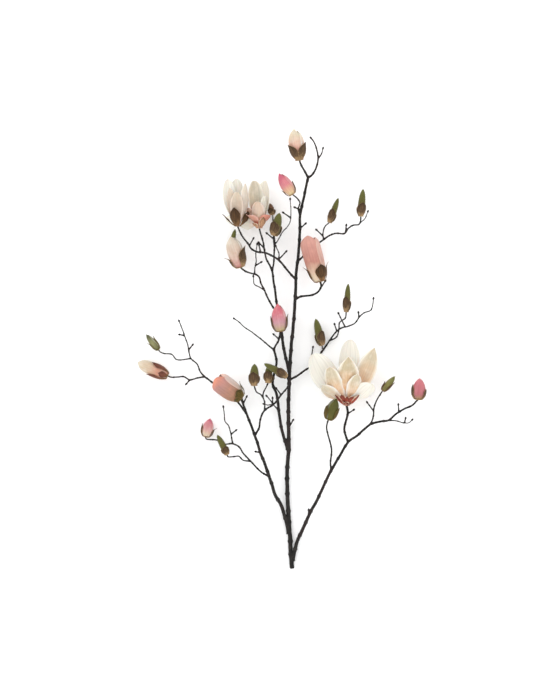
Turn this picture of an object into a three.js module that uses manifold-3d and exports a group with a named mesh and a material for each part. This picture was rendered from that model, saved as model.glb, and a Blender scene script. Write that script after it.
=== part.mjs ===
// Saucer magnolia branch: one woody stem with forks and twigs, and twenty-six heads from felted
// winter bud to open bloom. It lies on a table, growing towards +Y. Millimetres, +Z up.
import * as THREE from "three";
import { mergeVertices } from "three/addons/utils/BufferGeometryUtils.js";
import Module from "manifold-3d";

const wasm = await Module();
wasm.setup();

// Driving dimensions
const GAP = 0.3; // between pieces that touch
const TEPAL_THICK = 1.1;
const SCALE_THICK = 1.0;
const TWIG_SIDES = 4;
const STEM_SIDES = 5;
const TRUNK_SIDES = 6;
const THICK_STEM = 2.7; // start radius from which a stem gets more sides than a twig
const STRAIGHT = 1.7; // a stem needs no ring at a point this close to the line past it
// A leaf bud: how far its belly and its tip are past its foot, and the radius at each
const LEAF_BUD = { reach: [2.5, 7], radii: [2.6, 0.5], sides: 3, neck: 1.9 };
const BUD_SIDES = 6;
const BUD_RINGS = 4;
const CORE_SIDES = 4; // a core that its tepals hide
const CUP_SIDES = 6;
const CORE_RINGS = 2;
const LONG_BLADE = { length: 112, rows: 4 };
const SHORT_ROWS = 3;
const ROW_CROWDING = 1.3; // rows lie closer together towards a blade's tip
const HUGGING_COLUMNS = 3;
const TEPAL_COLUMNS = 2;
const BRACT_COLUMNS = 1;
const BRACT_WRAP = 0.05; // radians; bracts are nearly flat across
const MIDDLE_STEPS = 24; // along the middle line of a blade
const WIDEST_AT = 0.6; // share of a blade's length
const FOOT_WIDTH = 0.22; // share of a blade's greatest width
const TIP_SHARE = 0.07; // of a blade's width or a bud's radius, left at its tip
const CUP_WALL = 1.3; // rim of a head's cup outside the neck of its bud
const CUP_FLOOR = 1.3;
const NECK = 2 * GAP + CUP_FLOOR; // height where a bud starts, above the seat of its cup
const SCALE_FOOT = GAP + CUP_FLOOR / 2; // height in the cup's floor where scales are rooted
const SEAT_CUT = { margin: 0.6, height: 7 }; // where a twig's end is cut square to its head
const FOOT_LIFT = 0.66; // share of its lift that a hugging blade has at its foot
const LIFTED_AT = 0.3; // share of its length where it has the whole of it
const ROOT_SHARE = 0.2; // how deep a closed bud's tepal goes into it, as a share of its radius
const TEPAL_FOOT = { out: 0.35, up: NECK + 1 }; // out is a share of the core's radius
const BRACT_FOOT = 0.85; // share of the neck's radius
const LEAST_RADIUS = 1; // of a hugging blade, at its tip
const TWISTED_AT = 0.5; // share of its length where a free blade has its whole twist
const WELD = 1e-3; // points closer than this are one
const TABLE = { size: 2000, depth: 100 };

// Shapes of bud bodies: body is their radius as a share of the head's, widest says where along
// them that is, neck how narrow the foot is, and sharp and round how blunt the tip is. The core
// inside a closed bud's tepals has a share of that radius. OVATE and BROAD are fuller closed buds,
// whose tepals are rounded.
const FELTED = { body: 0.8, widest: 0.34, neck: 0.5, sharp: 2.6, round: 0.6 };
const CLOSED = { body: 0.82, widest: 0.42, neck: 0.45, sharp: 1.9, share: 0.8 };
const OVATE = { widest: 0.46, neck: 0.38, sharp: 2.8, pointed: false };
const BROAD = { widest: 0.55, neck: 0.42, sharp: 7, pointed: false };
const OPEN = { widest: 0.3, neck: 0.6, sharp: 1.6 };
const CONE = { widest: 0.35, neck: 0.7, sharp: 1.5 };

// Blades that lie round a bud: span is half their width in degrees, tuck how far one edge slips
// under the next, and lift their height over the bud, mostly a share of its radius.
const FELT_SCALE = { span: 66, lift: 0.14, tuck: 0.25, opposite: 178, second: 0.8 };
const WRAPPED_TEPAL = { span: 74, turns: [0, 118, 236], tuck: 0.9, lift: 0.16, lower: 0.02 };
const TEPAL_STEP = 0.05; // each wrapped tepal is this share of the bud shorter than the last
const CLOSED_BRACT = { lift: 0.19, columns: 2 };

const COLOURS = {
  bark: "#3a3431",
  olive: "#6f7440",
  green: "#8a9150",
  brown: "#6b5138",
  darkBrown: "#54402f",
  rose: "#c9707a",
  salmon: "#dd9a8a",
  dusty: "#c98a7c",
  cream: "#efe3cc",
  peach: "#f1cfae",
  white: "#f3eee3",
  rust: "#8e5a44",
  stamen: "#c4a06a",
};
const ROUGHNESS = { bark: 0.85, bud: 0.7, scales: 0.8, centre: 0.9 };

// Stems, each as points along its middle, with its radius at the start and at the end.
// A stem that ends in a leaf bud says so.
const STEMS = [
  // trunk, from the cut end to the top fork
  { radii: [5.8, 3.3], sides: TRUNK_SIDES, points: [[28, -550, 4.7], [25, -512, 5], [20, -435, 8.6],
    [16, -355, 13.5], [15.5, -300, 16.5], [19.5, -242, 20], [18.5, -150, 26], [21, -72, 31],
    [25, 0, 37], [32, 75, 43], [36, 145, 48], [38, 195, 52], [44.5, 250, 57], [47, 300, 61],
    [47.5, 335, 63], [57.5, 382, 65], [67.5, 430, 66]] },
  // top left fork, to head_01
  { radii: [2.8, 2.4], points: [[67.5, 430, 66], [59, 445, 67], [50, 461, 70], [46, 472, 72]] },
  // top right fork and its side twig
  { radii: [2.8, 1.8], bud: true, points: [[67.5, 430, 66], [76, 435, 65], [86, 450, 64],
    [92.5, 477, 61], [88, 505, 60], [81, 521, 60], [76, 527, 60]] },
  { radii: [1.9, 1.5], bud: true, points: [[92.5, 477, 61], [101, 489, 62], [104, 500, 63]] },
  // twig to head_02
  { radii: [2.2, 1.9], points: [[47.5, 335, 63], [43, 352, 68], [47, 367, 72], [41, 376, 73],
    [29, 387, 73]] },
  // right limb, to head_26
  { radii: [4.9, 2.4], points: [[29, -530, 8], [39, -487, 13], [56, -447, 19], [75, -404, 25],
    [91, -375, 29], [115, -322, 37], [126, -301, 40], [150, -259, 46], [168, -230, 50],
    [191, -213, 52], [224, -185, 53], [252, -178, 54], [268, -176, 54], [288, -159, 52],
    [308, -147, 48], [330, -137, 45], [339, -127, 44], [343, -124, 44]] },
  // off the right limb: to head_24, head_23 and head_25, and a bare twig
  { radii: [2.5, 2.1], points: [[125, -302, 40], [124, -280, 46], [126.5, -250, 56],
    [117, -210, 68], [113.5, -192, 72], [117.5, -173, 76]] },
  { radii: [2.9, 3.1], points: [[168, -231, 50], [161, -212, 52], [158, -197, 52], [165, -167, 50],
    [167, -156, 49], [164, -138, 48]] },
  { radii: [2.3, 1.9], points: [[207, -199, 52], [225, -182, 45], [231, -165, 40], [233, -145, 38],
    [240, -125, 38], [254, -102, 40]] },
  { radii: [1.8, 1.4], bud: true, points: [[268, -176, 54], [288, -177, 57], [308, -182, 60],
    [320, -181, 61], [325, -176, 62]] },
  // left limb, to head_18
  { radii: [5.1, 2.9], points: [[20, -462, 9], [10, -420, 14], [-1, -387, 19], [-14, -365, 23],
    [-22, -341, 27], [-40, -287, 35], [-51, -259, 39], [-61, -227, 42], [-72, -195, 43],
    [-82, -170, 43], [-97, -128, 44], [-99, -120, 45]] },
  // long twig behind head_18, its fork, and the arms to head_19 and head_20
  { radii: [2.6, 2.3], points: [[-87, -158, 43], [-108, -131, 25], [-122, -120, 18],
    [-147, -102, 14], [-180, -76, 15], [-192, -67, 17]] },
  { radii: [2.1, 1.6], bud: true, points: [[-192, -67, 17], [-203, -54, 20], [-210, -36, 22],
    [-226, -21, 25], [-231, -4, 28], [-234, 14, 31], [-240, 31, 34], [-245, 47, 37],
    [-254, 70, 40]] },
  { radii: [1.9, 1.7], points: [[-226, -21, 25], [-237, -23, 25], [-262, -24, 24], [-274, -11, 23],
    [-292, -9, 22], [-304, -4, 22], [-307, 1, 23]] },
  { radii: [2.1, 2], points: [[-192, -67, 17], [-209, -70, 16], [-229, -75, 15], [-244, -67, 15],
    [-260, -68, 15], [-277, -68, 15], [-284, -65, 16]] },
  // low twig off the left limb, to head_21, with an upright arm, and the arm to head_22
  { radii: [2.4, 1.9], points: [[-30, -317, 31], [-46, -308, 29], [-61, -295, 27], [-74, -281, 25],
    [-95, -259, 23], [-104, -244, 23], [-121, -235, 23], [-142, -236, 22], [-162, -226, 20],
    [-180, -225, 20], [-188, -223, 20], [-189.5, -218, 20]] },
  { radii: [1.9, 1.5], bud: true, points: [[-121, -235, 23], [-127, -205, 30], [-132, -189, 32],
    [-140, -179, 34], [-142, -160, 36], [-144, -145, 38]] },
  { radii: [1.9, 1.9], points: [[-77, -279, 25], [-95, -276, 30], [-106, -266, 34],
    [-120, -267, 37], [-133, -267, 38], [-135, -262, 38.5]] },
  // twig that crosses in front of the trunk, to head_15, with arms to head_16 and head_17
  { radii: [2.6, 2.2], points: [[-64, -211, 43], [-55, -195, 47], [-52, -175, 50], [-45, -156, 52],
    [-35, -146, 53], [-21, -138, 54], [-10, -127, 55], [0, -112, 56], [10, -101, 56],
    [18, -90, 56], [20, -80, 56], [14, -67, 57]] },
  { radii: [1.9, 1.9], points: [[-41, -149, 53], [-41, -129, 55], [-45, -119, 56], [-50, -112, 56],
    [-61, -105, 56], [-67, -89, 57]] },
  { radii: [1.8, 1.9], points: [[-45, -119, 56], [-44, -107, 57], [-36, -91, 58], [-32, -82, 58]] },
  { radii: [1.6, 1.4], bud: true, points: [[-20, -137, 54], [-27, -125, 55], [-34, -117, 56]] },
  // inner left stem, its two ends (head_14 on the right one) and a side twig
  { radii: [4.2, 3], points: [[17, -250, 20], [12, -235, 22], [2, -201, 27], [-1, -183, 29],
    [-5, -157, 31], [-8, -130, 33], [-12, -107, 34], [-21, -85, 34], [-16, -55, 34],
    [-11, -29, 36], [-14, -12, 39], [-18, 1, 42]] },
  { radii: [2.1, 1.6], bud: true, points: [[-18, 1, 42], [-32, 12, 43], [-52, 29, 44],
    [-72, 44, 44], [-90, 56, 44], [-105, 70, 44], [-115, 77, 44]] },
  { radii: [2.4, 2.4], points: [[-18, 1, 42], [-14, 10, 46], [-5, 26, 53], [-2, 46, 58]] },
  { radii: [1.7, 1.4], bud: true, points: [[-6, -152, 31], [-21, -137, 34], [-33, -138, 36],
    [-40, -136, 37]] },
  // second upper stem, its fork to head_04 and head_06, and the thin twigs there
  { radii: [4.2, 2.7], points: [[21, -55, 32], [16, -35, 31], [12, -20, 30], [5, 15, 29],
    [1, 47, 29], [-6, 92, 32], [-11, 120, 36], [-14, 142, 39], [-19, 175, 43], [-22, 198, 45]] },
  { radii: [2.4, 2.2], points: [[-22, 198, 45], [-28, 211, 46], [-37, 229, 47], [-41, 249, 48],
    [-45, 271, 49], [-52, 295, 50], [-54, 304, 50]] },
  { radii: [2.3, 2.3], points: [[-22, 198, 45], [-18, 219, 50], [-17, 247, 54], [-16, 270, 57],
    [-17, 285, 59]] },
  { radii: [1.6, 1.6], points: [[-17, 258, 55], [-19, 275, 38], [-19, 298, 22], [-20, 325, 10],
    [-21, 340, 10]] },
  { radii: [1.6, 1.3], bud: true, points: [[-16, 262, 56], [-6, 276, 56], [4, 295, 56],
    [15, 306, 56], [23, 320, 56], [25, 345, 55], [23, 374, 52]] },
  // twig to head_08, the hidden one to head_07 and two bare ones
  { radii: [2.5, 2.1], points: [[-7, 92, 32], [-21, 109, 33], [-34, 132, 36], [-41, 149, 38],
    [-50, 166, 40], [-54, 181, 42], [-59, 187, 43], [-75, 192, 44], [-90, 197, 46],
    [-101, 206, 47]] },
  { radii: [1.6, 1.6], points: [[-82, 194, 45], [-98, 205, 26], [-116, 232, 17], [-126, 257, 17]] },
  { radii: [1.7, 1.4], bud: true, points: [[-41, 149, 38], [-55, 158, 35], [-67, 165, 33],
    [-69, 182, 30]] },
  { radii: [1.7, 1.4], bud: true, points: [[-66, 190, 44], [-65, 207, 46], [-62, 221, 47],
    [-63, 237, 48], [-60, 262, 48]] },
  // twig that crosses in front, to head_03, with a bare arm
  { radii: [2.9, 2.2], points: [[37, 177, 52], [27, 186, 60], [15, 200, 66], [2, 216, 70],
    [-10, 227, 73], [-24, 235, 74], [-40, 242, 75], [-60, 244, 75], [-74, 252, 73],
    [-82, 265, 71], [-96, 282, 68], [-108, 308, 64]] },
  { radii: [1.6, 1.4], bud: true, points: [[-6, 226, 72], [-5, 240, 73], [-12, 256, 74]] },
  // twig to head_09
  { radii: [2.8, 2.5], points: [[36, 127, 47], [50, 134, 50], [61, 135, 52], [80, 138, 54],
    [94, 147, 56], [100, 160, 58], [98, 170, 59]] },
  // twig behind head_09, to head_11, with arms to head_10 and to a bare tip
  { radii: [2.6, 2], points: [[41, 220, 54], [50, 229, 42], [62, 240, 28], [80, 257, 22],
    [107, 277, 27], [122, 287, 33], [137, 292, 36], [160, 292, 39], [168, 304, 41],
    [180, 312, 42], [195, 314, 42], [199, 322, 42], [199.5, 334, 43]] },
  { radii: [1.8, 1.7], points: [[107, 277, 27], [105, 292, 32], [110, 309, 36], [121, 319, 38]] },
  { radii: [1.5, 1.3], bud: true, points: [[198, 318, 42], [211, 330, 30], [217, 345, 25]] },
  // twig behind the big bloom, with arms to head_13, head_12 and a bare tip
  { radii: [2.8, 1.6], bud: true, points: [[21, -75, 31], [40, -65, 28], [60, -51, 18],
    [72, -43, 11], [89, -22, 4], [106, 0, 2], [117, 16, 6], [137, 44, 24], [151, 55, 33],
    [167, 59, 38], [185, 67, 40], [195, 81, 40], [206, 92, 40], [225, 100, 40], [230, 117, 40],
    [231, 126, 40]] },
  { radii: [1.8, 1.9], points: [[106, -1, 3], [104, 5, 11], [103, 12, 19]] },
  { radii: [1.8, 1.9], points: [[122, 23, 11], [139, 32, 18], [145, 50, 26], [147, 69, 34],
    [161, 80, 38], [163, 95, 41]] },
];

// Short spurs with a leaf bud, each from a point inside its stem to the foot of its bud.
const SPURS = [
  [[19, -196, 25], [29, -178, 31]],
  [[47, 303, 61], [59, 313, 64]],
  [[46, 350, 66], [37, 354, 68]],
  [[68, -419, 24], [69, -404, 27]],
  [[167, -159, 49], [179, -151, 52]],
  [[232, -153, 38], [217, -133, 44]],
  [[294, -155, 51], [293, -139, 55]],
  [[308, -182, 60], [310, -173, 61]],
  [[-52, -257, 39], [-60, -255, 41]],
  [[-94, -133, 44], [-87, -119, 48]],
  [[-231, 1, 28], [-223, 11, 31]],
  [[-242, 36, 35], [-251, 38, 36]],
  [[-229, -75, 15], [-236, -83, 15]],
  [[-125, -211, 29], [-115, -203, 31]],
  [[0, -112, 56], [-10, -98, 58]],
  [[-21, -136, 54], [-21, -123, 56]],
  [[-5, 27, 53], [-16, 37, 54]],
  [[-42, 254, 48], [-53, 266, 49]],
  [[-17, 276, 58], [-33, 289, 60]],
  [[24, 330, 56], [8, 341, 57]],
  [[-65, 210, 46], [-52, 218, 48]],
  [[-79, 259, 72], [-70, 275, 74]],
  [[-51, 243, 75], [-54, 258, 77]],
  [[-6, 225, 72], [11, 243, 76]],
  [[99, 155, 57], [109, 170, 56]],
  [[161, 293, 39], [163, 309, 41]],
  [[105, 286, 30], [91, 299, 31]],
  [[195, 81, 40], [194, 91, 42]],
  [[161, 57, 37], [145, 89, 43]],
  [[140, 47, 27], [135, 62, 33]],
  [[72, -43, 11], [80, 4, 11]],
];

// Geometry as a solid that can be joined and cut
function solid(geometry) {
  const bare = new THREE.BufferGeometry();
  bare.setAttribute("position", geometry.getAttribute("position"));
  bare.setIndex(geometry.getIndex());
  const merged = mergeVertices(bare, WELD);
  const mesh = new wasm.Mesh({
    numProp: 3,
    vertProperties: merged.getAttribute("position").array,
    triVerts: new Uint32Array(merged.getIndex().array),
  });
  return new wasm.Manifold(mesh);
}

function fuse(solids) {
  return solids.reduce((whole, next) => whole.add(next));
}

// The largest body of a solid: crumbs that a cut leaves are dropped.
function largest(whole) {
  return whole.decompose().reduce((a, b) => (b.volume() > a.volume() ? b : a));
}

// A round bar bent along points, with a ring of the given radius at each and a ridge along its
// underside. No stem runs straight up.
function bar(points, radii, sides) {
  const middle = points.map((p) => new THREE.Vector3(...p));
  const curve = new THREE.CatmullRomCurve3(middle, false, "centripetal");
  const rings = points.length - 1;
  const geometry = new THREE.CylinderGeometry(1, 1, 1, sides, rings);
  const place = geometry.getAttribute("position");
  const up = new THREE.Vector3(0, 0, 1);
  for (let i = 0; i < place.count; i++) {
    const t = place.getY(i) + 0.5;
    const radius = radii[Math.round(t * rings)];
    const point = curve.getPoint(t);
    const along = curve.getTangent(t);
    const side = up.clone().cross(along).normalize();
    const top = along.clone().cross(side);
    point.addScaledVector(side, place.getX(i) * radius);
    point.addScaledVector(top, -place.getZ(i) * radius);
    place.setXYZ(i, point.x, point.y, point.z);
  }
  return solid(geometry);
}

// Where a leaf bud that grows on from a twig has its belly and its tip
function leafBud(from, foot) {
  const along = new THREE.Vector3(...foot).sub(new THREE.Vector3(...from)).normalize();
  return LEAF_BUD.reach.map((reach) =>
    new THREE.Vector3(...foot).addScaledVector(along, reach).toArray(),
  );
}

// A point of a stem that lies on the line from the last ring to the next point needs no ring.
function needsRing(last, point, next) {
  const line = new THREE.Line3(new THREE.Vector3(...last), new THREE.Vector3(...next));
  const here = new THREE.Vector3(...point);
  return here.distanceTo(line.closestPointToPoint(here, true, new THREE.Vector3())) > STRAIGHT;
}

// A stem tapers from its first point to its last, and may grow on as a leaf bud.
function stem({ points, radii: [start, end], sides, bud = false }) {
  const last = points.length - 1;
  const rings = [];
  points.forEach((point, i) => {
    const inner = i > 0 && i < last;
    if (inner && !needsRing(rings.at(-1).point, point, points[i + 1])) return;
    rings.push({ point, radius: start + ((end - start) * i) / last });
  });
  const line = rings.map((ring) => ring.point);
  const radii = rings.map((ring) => ring.radius);
  if (bud) {
    line.push(...leafBud(points.at(-2), points.at(-1)));
    radii.push(...LEAF_BUD.radii);
  }
  return bar(line, radii, sides ?? (start < THICK_STEM ? TWIG_SIDES : STEM_SIDES));
}

// A short spur that swells into its leaf bud
function spur([from, to]) {
  return bar([from, ...leafBud(from, to)], [LEAF_BUD.neck, ...LEAF_BUD.radii], LEAF_BUD.sides);
}

// What is taken off the wood at a head's seat, so that its twig ends square to it
function seatCut(head) {
  const rim = cupRim(head) + SEAT_CUT.margin;
  const profile = [[0, 0], [rim, 0], [rim, SEAT_CUT.height], [0, SEAT_CUT.height]];
  const cut = new THREE.LatheGeometry(profile.map((p) => new THREE.Vector2(...p)), CUP_SIDES);
  return seated(cut, head);
}

function makeWood() {
  const whole = fuse([...STEMS.map(stem), ...SPURS.map(spur)]);
  return Object.values(HEADS).reduce((wood, head) => wood.subtract(seatCut(head)), whole);
}

function neckRadius(head) {
  return head.core.radius * egg(NECK / head.core.length, head.core);
}

// The flat sides of a cup reach as far out as the feet of the scales that stand on it.
function cupRim(head) {
  const wall = head.wraps.length ? head.wraps[0].lift * FOOT_LIFT : CUP_WALL;
  return (neckRadius(head) + wall) / Math.cos(Math.PI / CUP_SIDES);
}

// Half width of a blade at t along it, as a share of its greatest half width
function outline(t, pointed) {
  const rise = Math.sin((Math.PI / 2) * Math.min(1, t / WIDEST_AT));
  const past = Math.max(0, (t - WIDEST_AT) / (1 - WIDEST_AT));
  const fall = (1 - past * past) ** (pointed ? 1 : 0.5);
  return Math.max(TIP_SHARE, (FOOT_WIDTH + (1 - FOOT_WIDTH) * rise) * fall);
}

// A thin solid on a grid of points. place(t, s, face) gives the point at t along it (0 to 1) and s
// across it (-1 to 1), on its outer face (1) or its inner one (-1). Both faces are split alike.
function sheet(rows, columns, place) {
  const points = [];
  for (const face of [1, -1])
    for (let i = 0; i <= rows; i++)
      for (let j = 0; j <= columns; j++)
        points.push(...place(1 - (1 - i / rows) ** ROW_CROWDING, (2 * j) / columns - 1, face));
  const width = columns + 1;
  const back = (rows + 1) * width;
  const index = [];
  const quad = (a, b, c, d) => index.push(a, b, c, a, c, d);
  for (let i = 0; i < rows; i++)
    for (let j = 0; j < columns; j++) {
      const a = i * width + j;
      const [b, c, d] = [a + width, a + width + 1, a + 1];
      quad(a, b, c, d);
      index.push(a + back, c + back, b + back, a + back, d + back, c + back);
      if (j === 0) quad(b, a, a + back, b + back);
      if (j === columns - 1) quad(d, c, c + back, d + back);
      if (i === 0) quad(a, d, d + back, a + back);
      if (i === rows - 1) quad(c, b, b + back, c + back);
    }
  const geometry = new THREE.BufferGeometry();
  geometry.setAttribute("position", new THREE.Float32BufferAttribute(points, 3));
  geometry.setIndex(index);
  return geometry;
}

// The middle line of a free blade: its angle from the head's axis goes through three values.
function middleLine({ length, open, foot }, t) {
  const [first, middle, last] = open.map(THREE.MathUtils.degToRad);
  const angleAt = (u) => (1 - u) ** 2 * first + 2 * u * (1 - u) * middle + u * u * last;
  let [out, up] = foot;
  const step = (length * t) / MIDDLE_STEPS;
  for (let k = 0; k < MIDDLE_STEPS; k++) {
    const angle = angleAt((t * (k + 0.5)) / MIDDLE_STEPS);
    out += Math.sin(angle) * step;
    up += Math.cos(angle) * step;
  }
  return { out, up, angle: angleAt(t) };
}

// A free blade, such as an open tepal or a bract, arched across by its wrap in radians and turned
// about its own middle line by its twist
function freeBlade(blade, columns, thick, grow) {
  const rows = blade.length > LONG_BLADE.length ? LONG_BLADE.rows : SHORT_ROWS;
  const turn = THREE.MathUtils.degToRad(blade.turn);
  const twist = THREE.MathUtils.degToRad(blade.twist);
  const radial = new THREE.Vector3(Math.cos(turn), 0, Math.sin(turn));
  const axis = new THREE.Vector3(0, 1, 0);
  return sheet(rows, columns, (t, s, face) => {
    const { out, up, angle } = middleLine(blade, t);
    const half = (blade.width / 2) * outline(t, blade.pointed) + grow;
    const bend = blade.wrap * s;
    const outward = radial.clone().multiplyScalar(Math.cos(angle));
    outward.addScaledVector(axis, -Math.sin(angle));
    const along = radial.clone().multiplyScalar(Math.sin(angle));
    along.addScaledVector(axis, Math.cos(angle));
    const across = new THREE.Vector3(-Math.sin(turn), 0, Math.cos(turn));
    const turned = -twist * Math.min(1, t / TWISTED_AT);
    outward.applyAxisAngle(along, turned);
    across.applyAxisAngle(along, turned);
    const point = radial.clone().multiplyScalar(out).addScaledVector(axis, up);
    point.addScaledVector(along, grow * (2 * t - 1));
    point.addScaledVector(across, (half * Math.sin(bend)) / blade.wrap);
    point.addScaledVector(outward, (-half * (1 - Math.cos(bend))) / blade.wrap);
    const side = face * (thick / 2 + grow);
    point.addScaledVector(outward, side * Math.cos(bend));
    point.addScaledVector(across, side * Math.sin(bend));
    return point.toArray();
  });
}

// Radius of a bud at x of its length, as a share of its greatest radius
function egg(x, { widest, neck, sharp, round = 1 }) {
  if (x < widest) return Math.sqrt(1 - ((widest - x) / widest) ** 2 * (1 - neck * neck));
  const past = Math.min(1, (x - widest) / (1 - widest));
  return Math.max(TIP_SHARE, (1 - past ** sharp) ** round);
}

// A blade that lies round a bud: it follows the bud's radius, with one edge tucked in. A tepal of
// a closed bud is rooted in the bud's middle; a scale is thin and stays clear of it.
function huggingBlade(blade, core, grow) {
  return sheet(SHORT_ROWS, blade.columns ?? HUGGING_COLUMNS, (t, s, face) => {
    const up = blade.from + (blade.to - blade.from) * t + grow * (2 * t - 1);
    const radius = core.radius * egg(Math.min(1, up / core.length), core);
    const ramp = FOOT_LIFT + (1 - FOOT_LIFT) * Math.min(1, t / LIFTED_AT);
    const outer = Math.max(LEAST_RADIUS, radius + (blade.lift + blade.tuck * s) * ramp) + grow;
    const inner = blade.rooted ? outer * ROOT_SHARE : outer - SCALE_THICK;
    const out = face > 0 ? outer : inner;
    const half = blade.span * outline(t, blade.pointed) + THREE.MathUtils.radToDeg(grow / outer);
    const turn = THREE.MathUtils.degToRad(blade.turn + s * half);
    return [out * Math.cos(turn), up, out * Math.sin(turn)];
  });
}

// The solid middle of a bud, turned about its axis
function coreGeometry({ radius, length, start, hidden, share = 1, ...shape }, grow) {
  const rings = hidden ? CORE_RINGS : BUD_RINGS;
  const profile = [new THREE.Vector2(0, start - grow)];
  for (let k = 0; k <= rings; k++) {
    const up = start + ((length - start) * k) / rings;
    const end = k === 0 ? -grow : k === rings ? grow : 0;
    profile.push(new THREE.Vector2(share * radius * egg(up / length, shape) + grow, up + end));
  }
  profile.push(new THREE.Vector2(0, length + grow));
  return new THREE.LatheGeometry(profile, hidden ? CORE_SIDES : BUD_SIDES);
}

// Places a head's geometry: its axis runs from its seat on the twig towards its tip, turn 0 is to
// the right of the axis seen from above, turn 90 faces up, and bend bows the axis sideways.
function seated(geometry, { at, to, bend }) {
  const base = new THREE.Vector3(...at);
  const along = new THREE.Vector3(...to).sub(base);
  const length = along.length();
  along.normalize();
  const front = new THREE.Vector3(0, 0, 1).addScaledVector(along, -along.z).normalize();
  const right = along.clone().cross(front);
  const place = geometry.getAttribute("position");
  for (let i = 0; i < place.count; i++) {
    const share = THREE.MathUtils.clamp(place.getY(i) / length, 0, 1);
    place.setX(i, place.getX(i) + bend * share * (2 - share) * share);
  }
  geometry.applyMatrix4(new THREE.Matrix4().makeBasis(right, along, front).setPosition(base));
  return solid(geometry);
}

function lengthOf(at, to) {
  return new THREE.Vector3(...at).distanceTo(new THREE.Vector3(...to));
}

// Felted winter bud: one smooth body with two scales round its foot
function fuzzy(at, to, radius, { bend = 0, turn = 110, reach = 0.5, body = "olive" } = {}) {
  const length = lengthOf(at, to);
  const { span, tuck, opposite, second } = FELT_SCALE;
  const lift = SCALE_THICK + 3 * GAP + FELT_SCALE.lift * radius;
  const scale = { span, tuck, lift, from: SCALE_FOOT, pointed: true };
  return {
    at, to, bend, body, scales: "brown",
    core: { ...FELTED, radius: radius * FELTED.body, length, start: NECK },
    hugging: [], tepals: [], bracts: [],
    wraps: [
      { ...scale, turn, to: length * reach },
      { ...scale, turn: turn + opposite, to: length * reach * second },
    ],
  };
}

// Closed bud: tepals wrapped round a core, and a few bracts
function closed(at, to, radius, { turn, body, scales = "brown", shape = {}, bracts }) {
  const length = lengthOf(at, to);
  const { span, tuck, turns, lift, lower } = WRAPPED_TEPAL;
  const bractLift = CLOSED_BRACT.lift * radius + tuck + 2 * GAP + SCALE_THICK;
  return {
    at, to, bend: 0, body, scales,
    core: { ...CLOSED, ...shape, radius: radius * CLOSED.body, length, start: NECK, hidden: true },
    hugging: turns.map((step, k) => ({
      rooted: true, pointed: shape.pointed ?? true, span, tuck, from: NECK, turn: turn + step,
      lift: radius * (lift - lower * k), to: length * (1 - TEPAL_STEP * k),
    })),
    tepals: [], bracts: [],
    wraps: bracts.map(([side, half, reach]) => ({
      turn: side, span: half, from: SCALE_FOOT, to: length * reach, lift: bractLift, tuck: 0,
      pointed: true, columns: CLOSED_BRACT.columns,
    })),
  };
}

// Opening bud or open bloom: free tepals round a small core
function opening(at, to, [radius, length], { body, scales = "brown", tepals, bracts, centre }) {
  return {
    at, to, bend: 0, body, scales, tepals, bracts, centre,
    core: { ...OPEN, radius, length, start: NECK, hidden: true },
    hugging: [], wraps: [],
  };
}

// A free blade's numbers: turn round the head, length, width, opening angles from foot to tip,
// and for a tepal how far it is arched across, in radians, and twisted, in degrees
function tepal(turn, length, width, open, wrap = 0.8, twist = 0) {
  return { turn, length, width, open, wrap, twist };
}
function bract(turn, length, width, open) {
  return { turn, length, width, open, wrap: BRACT_WRAP, twist: 0 };
}

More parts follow.
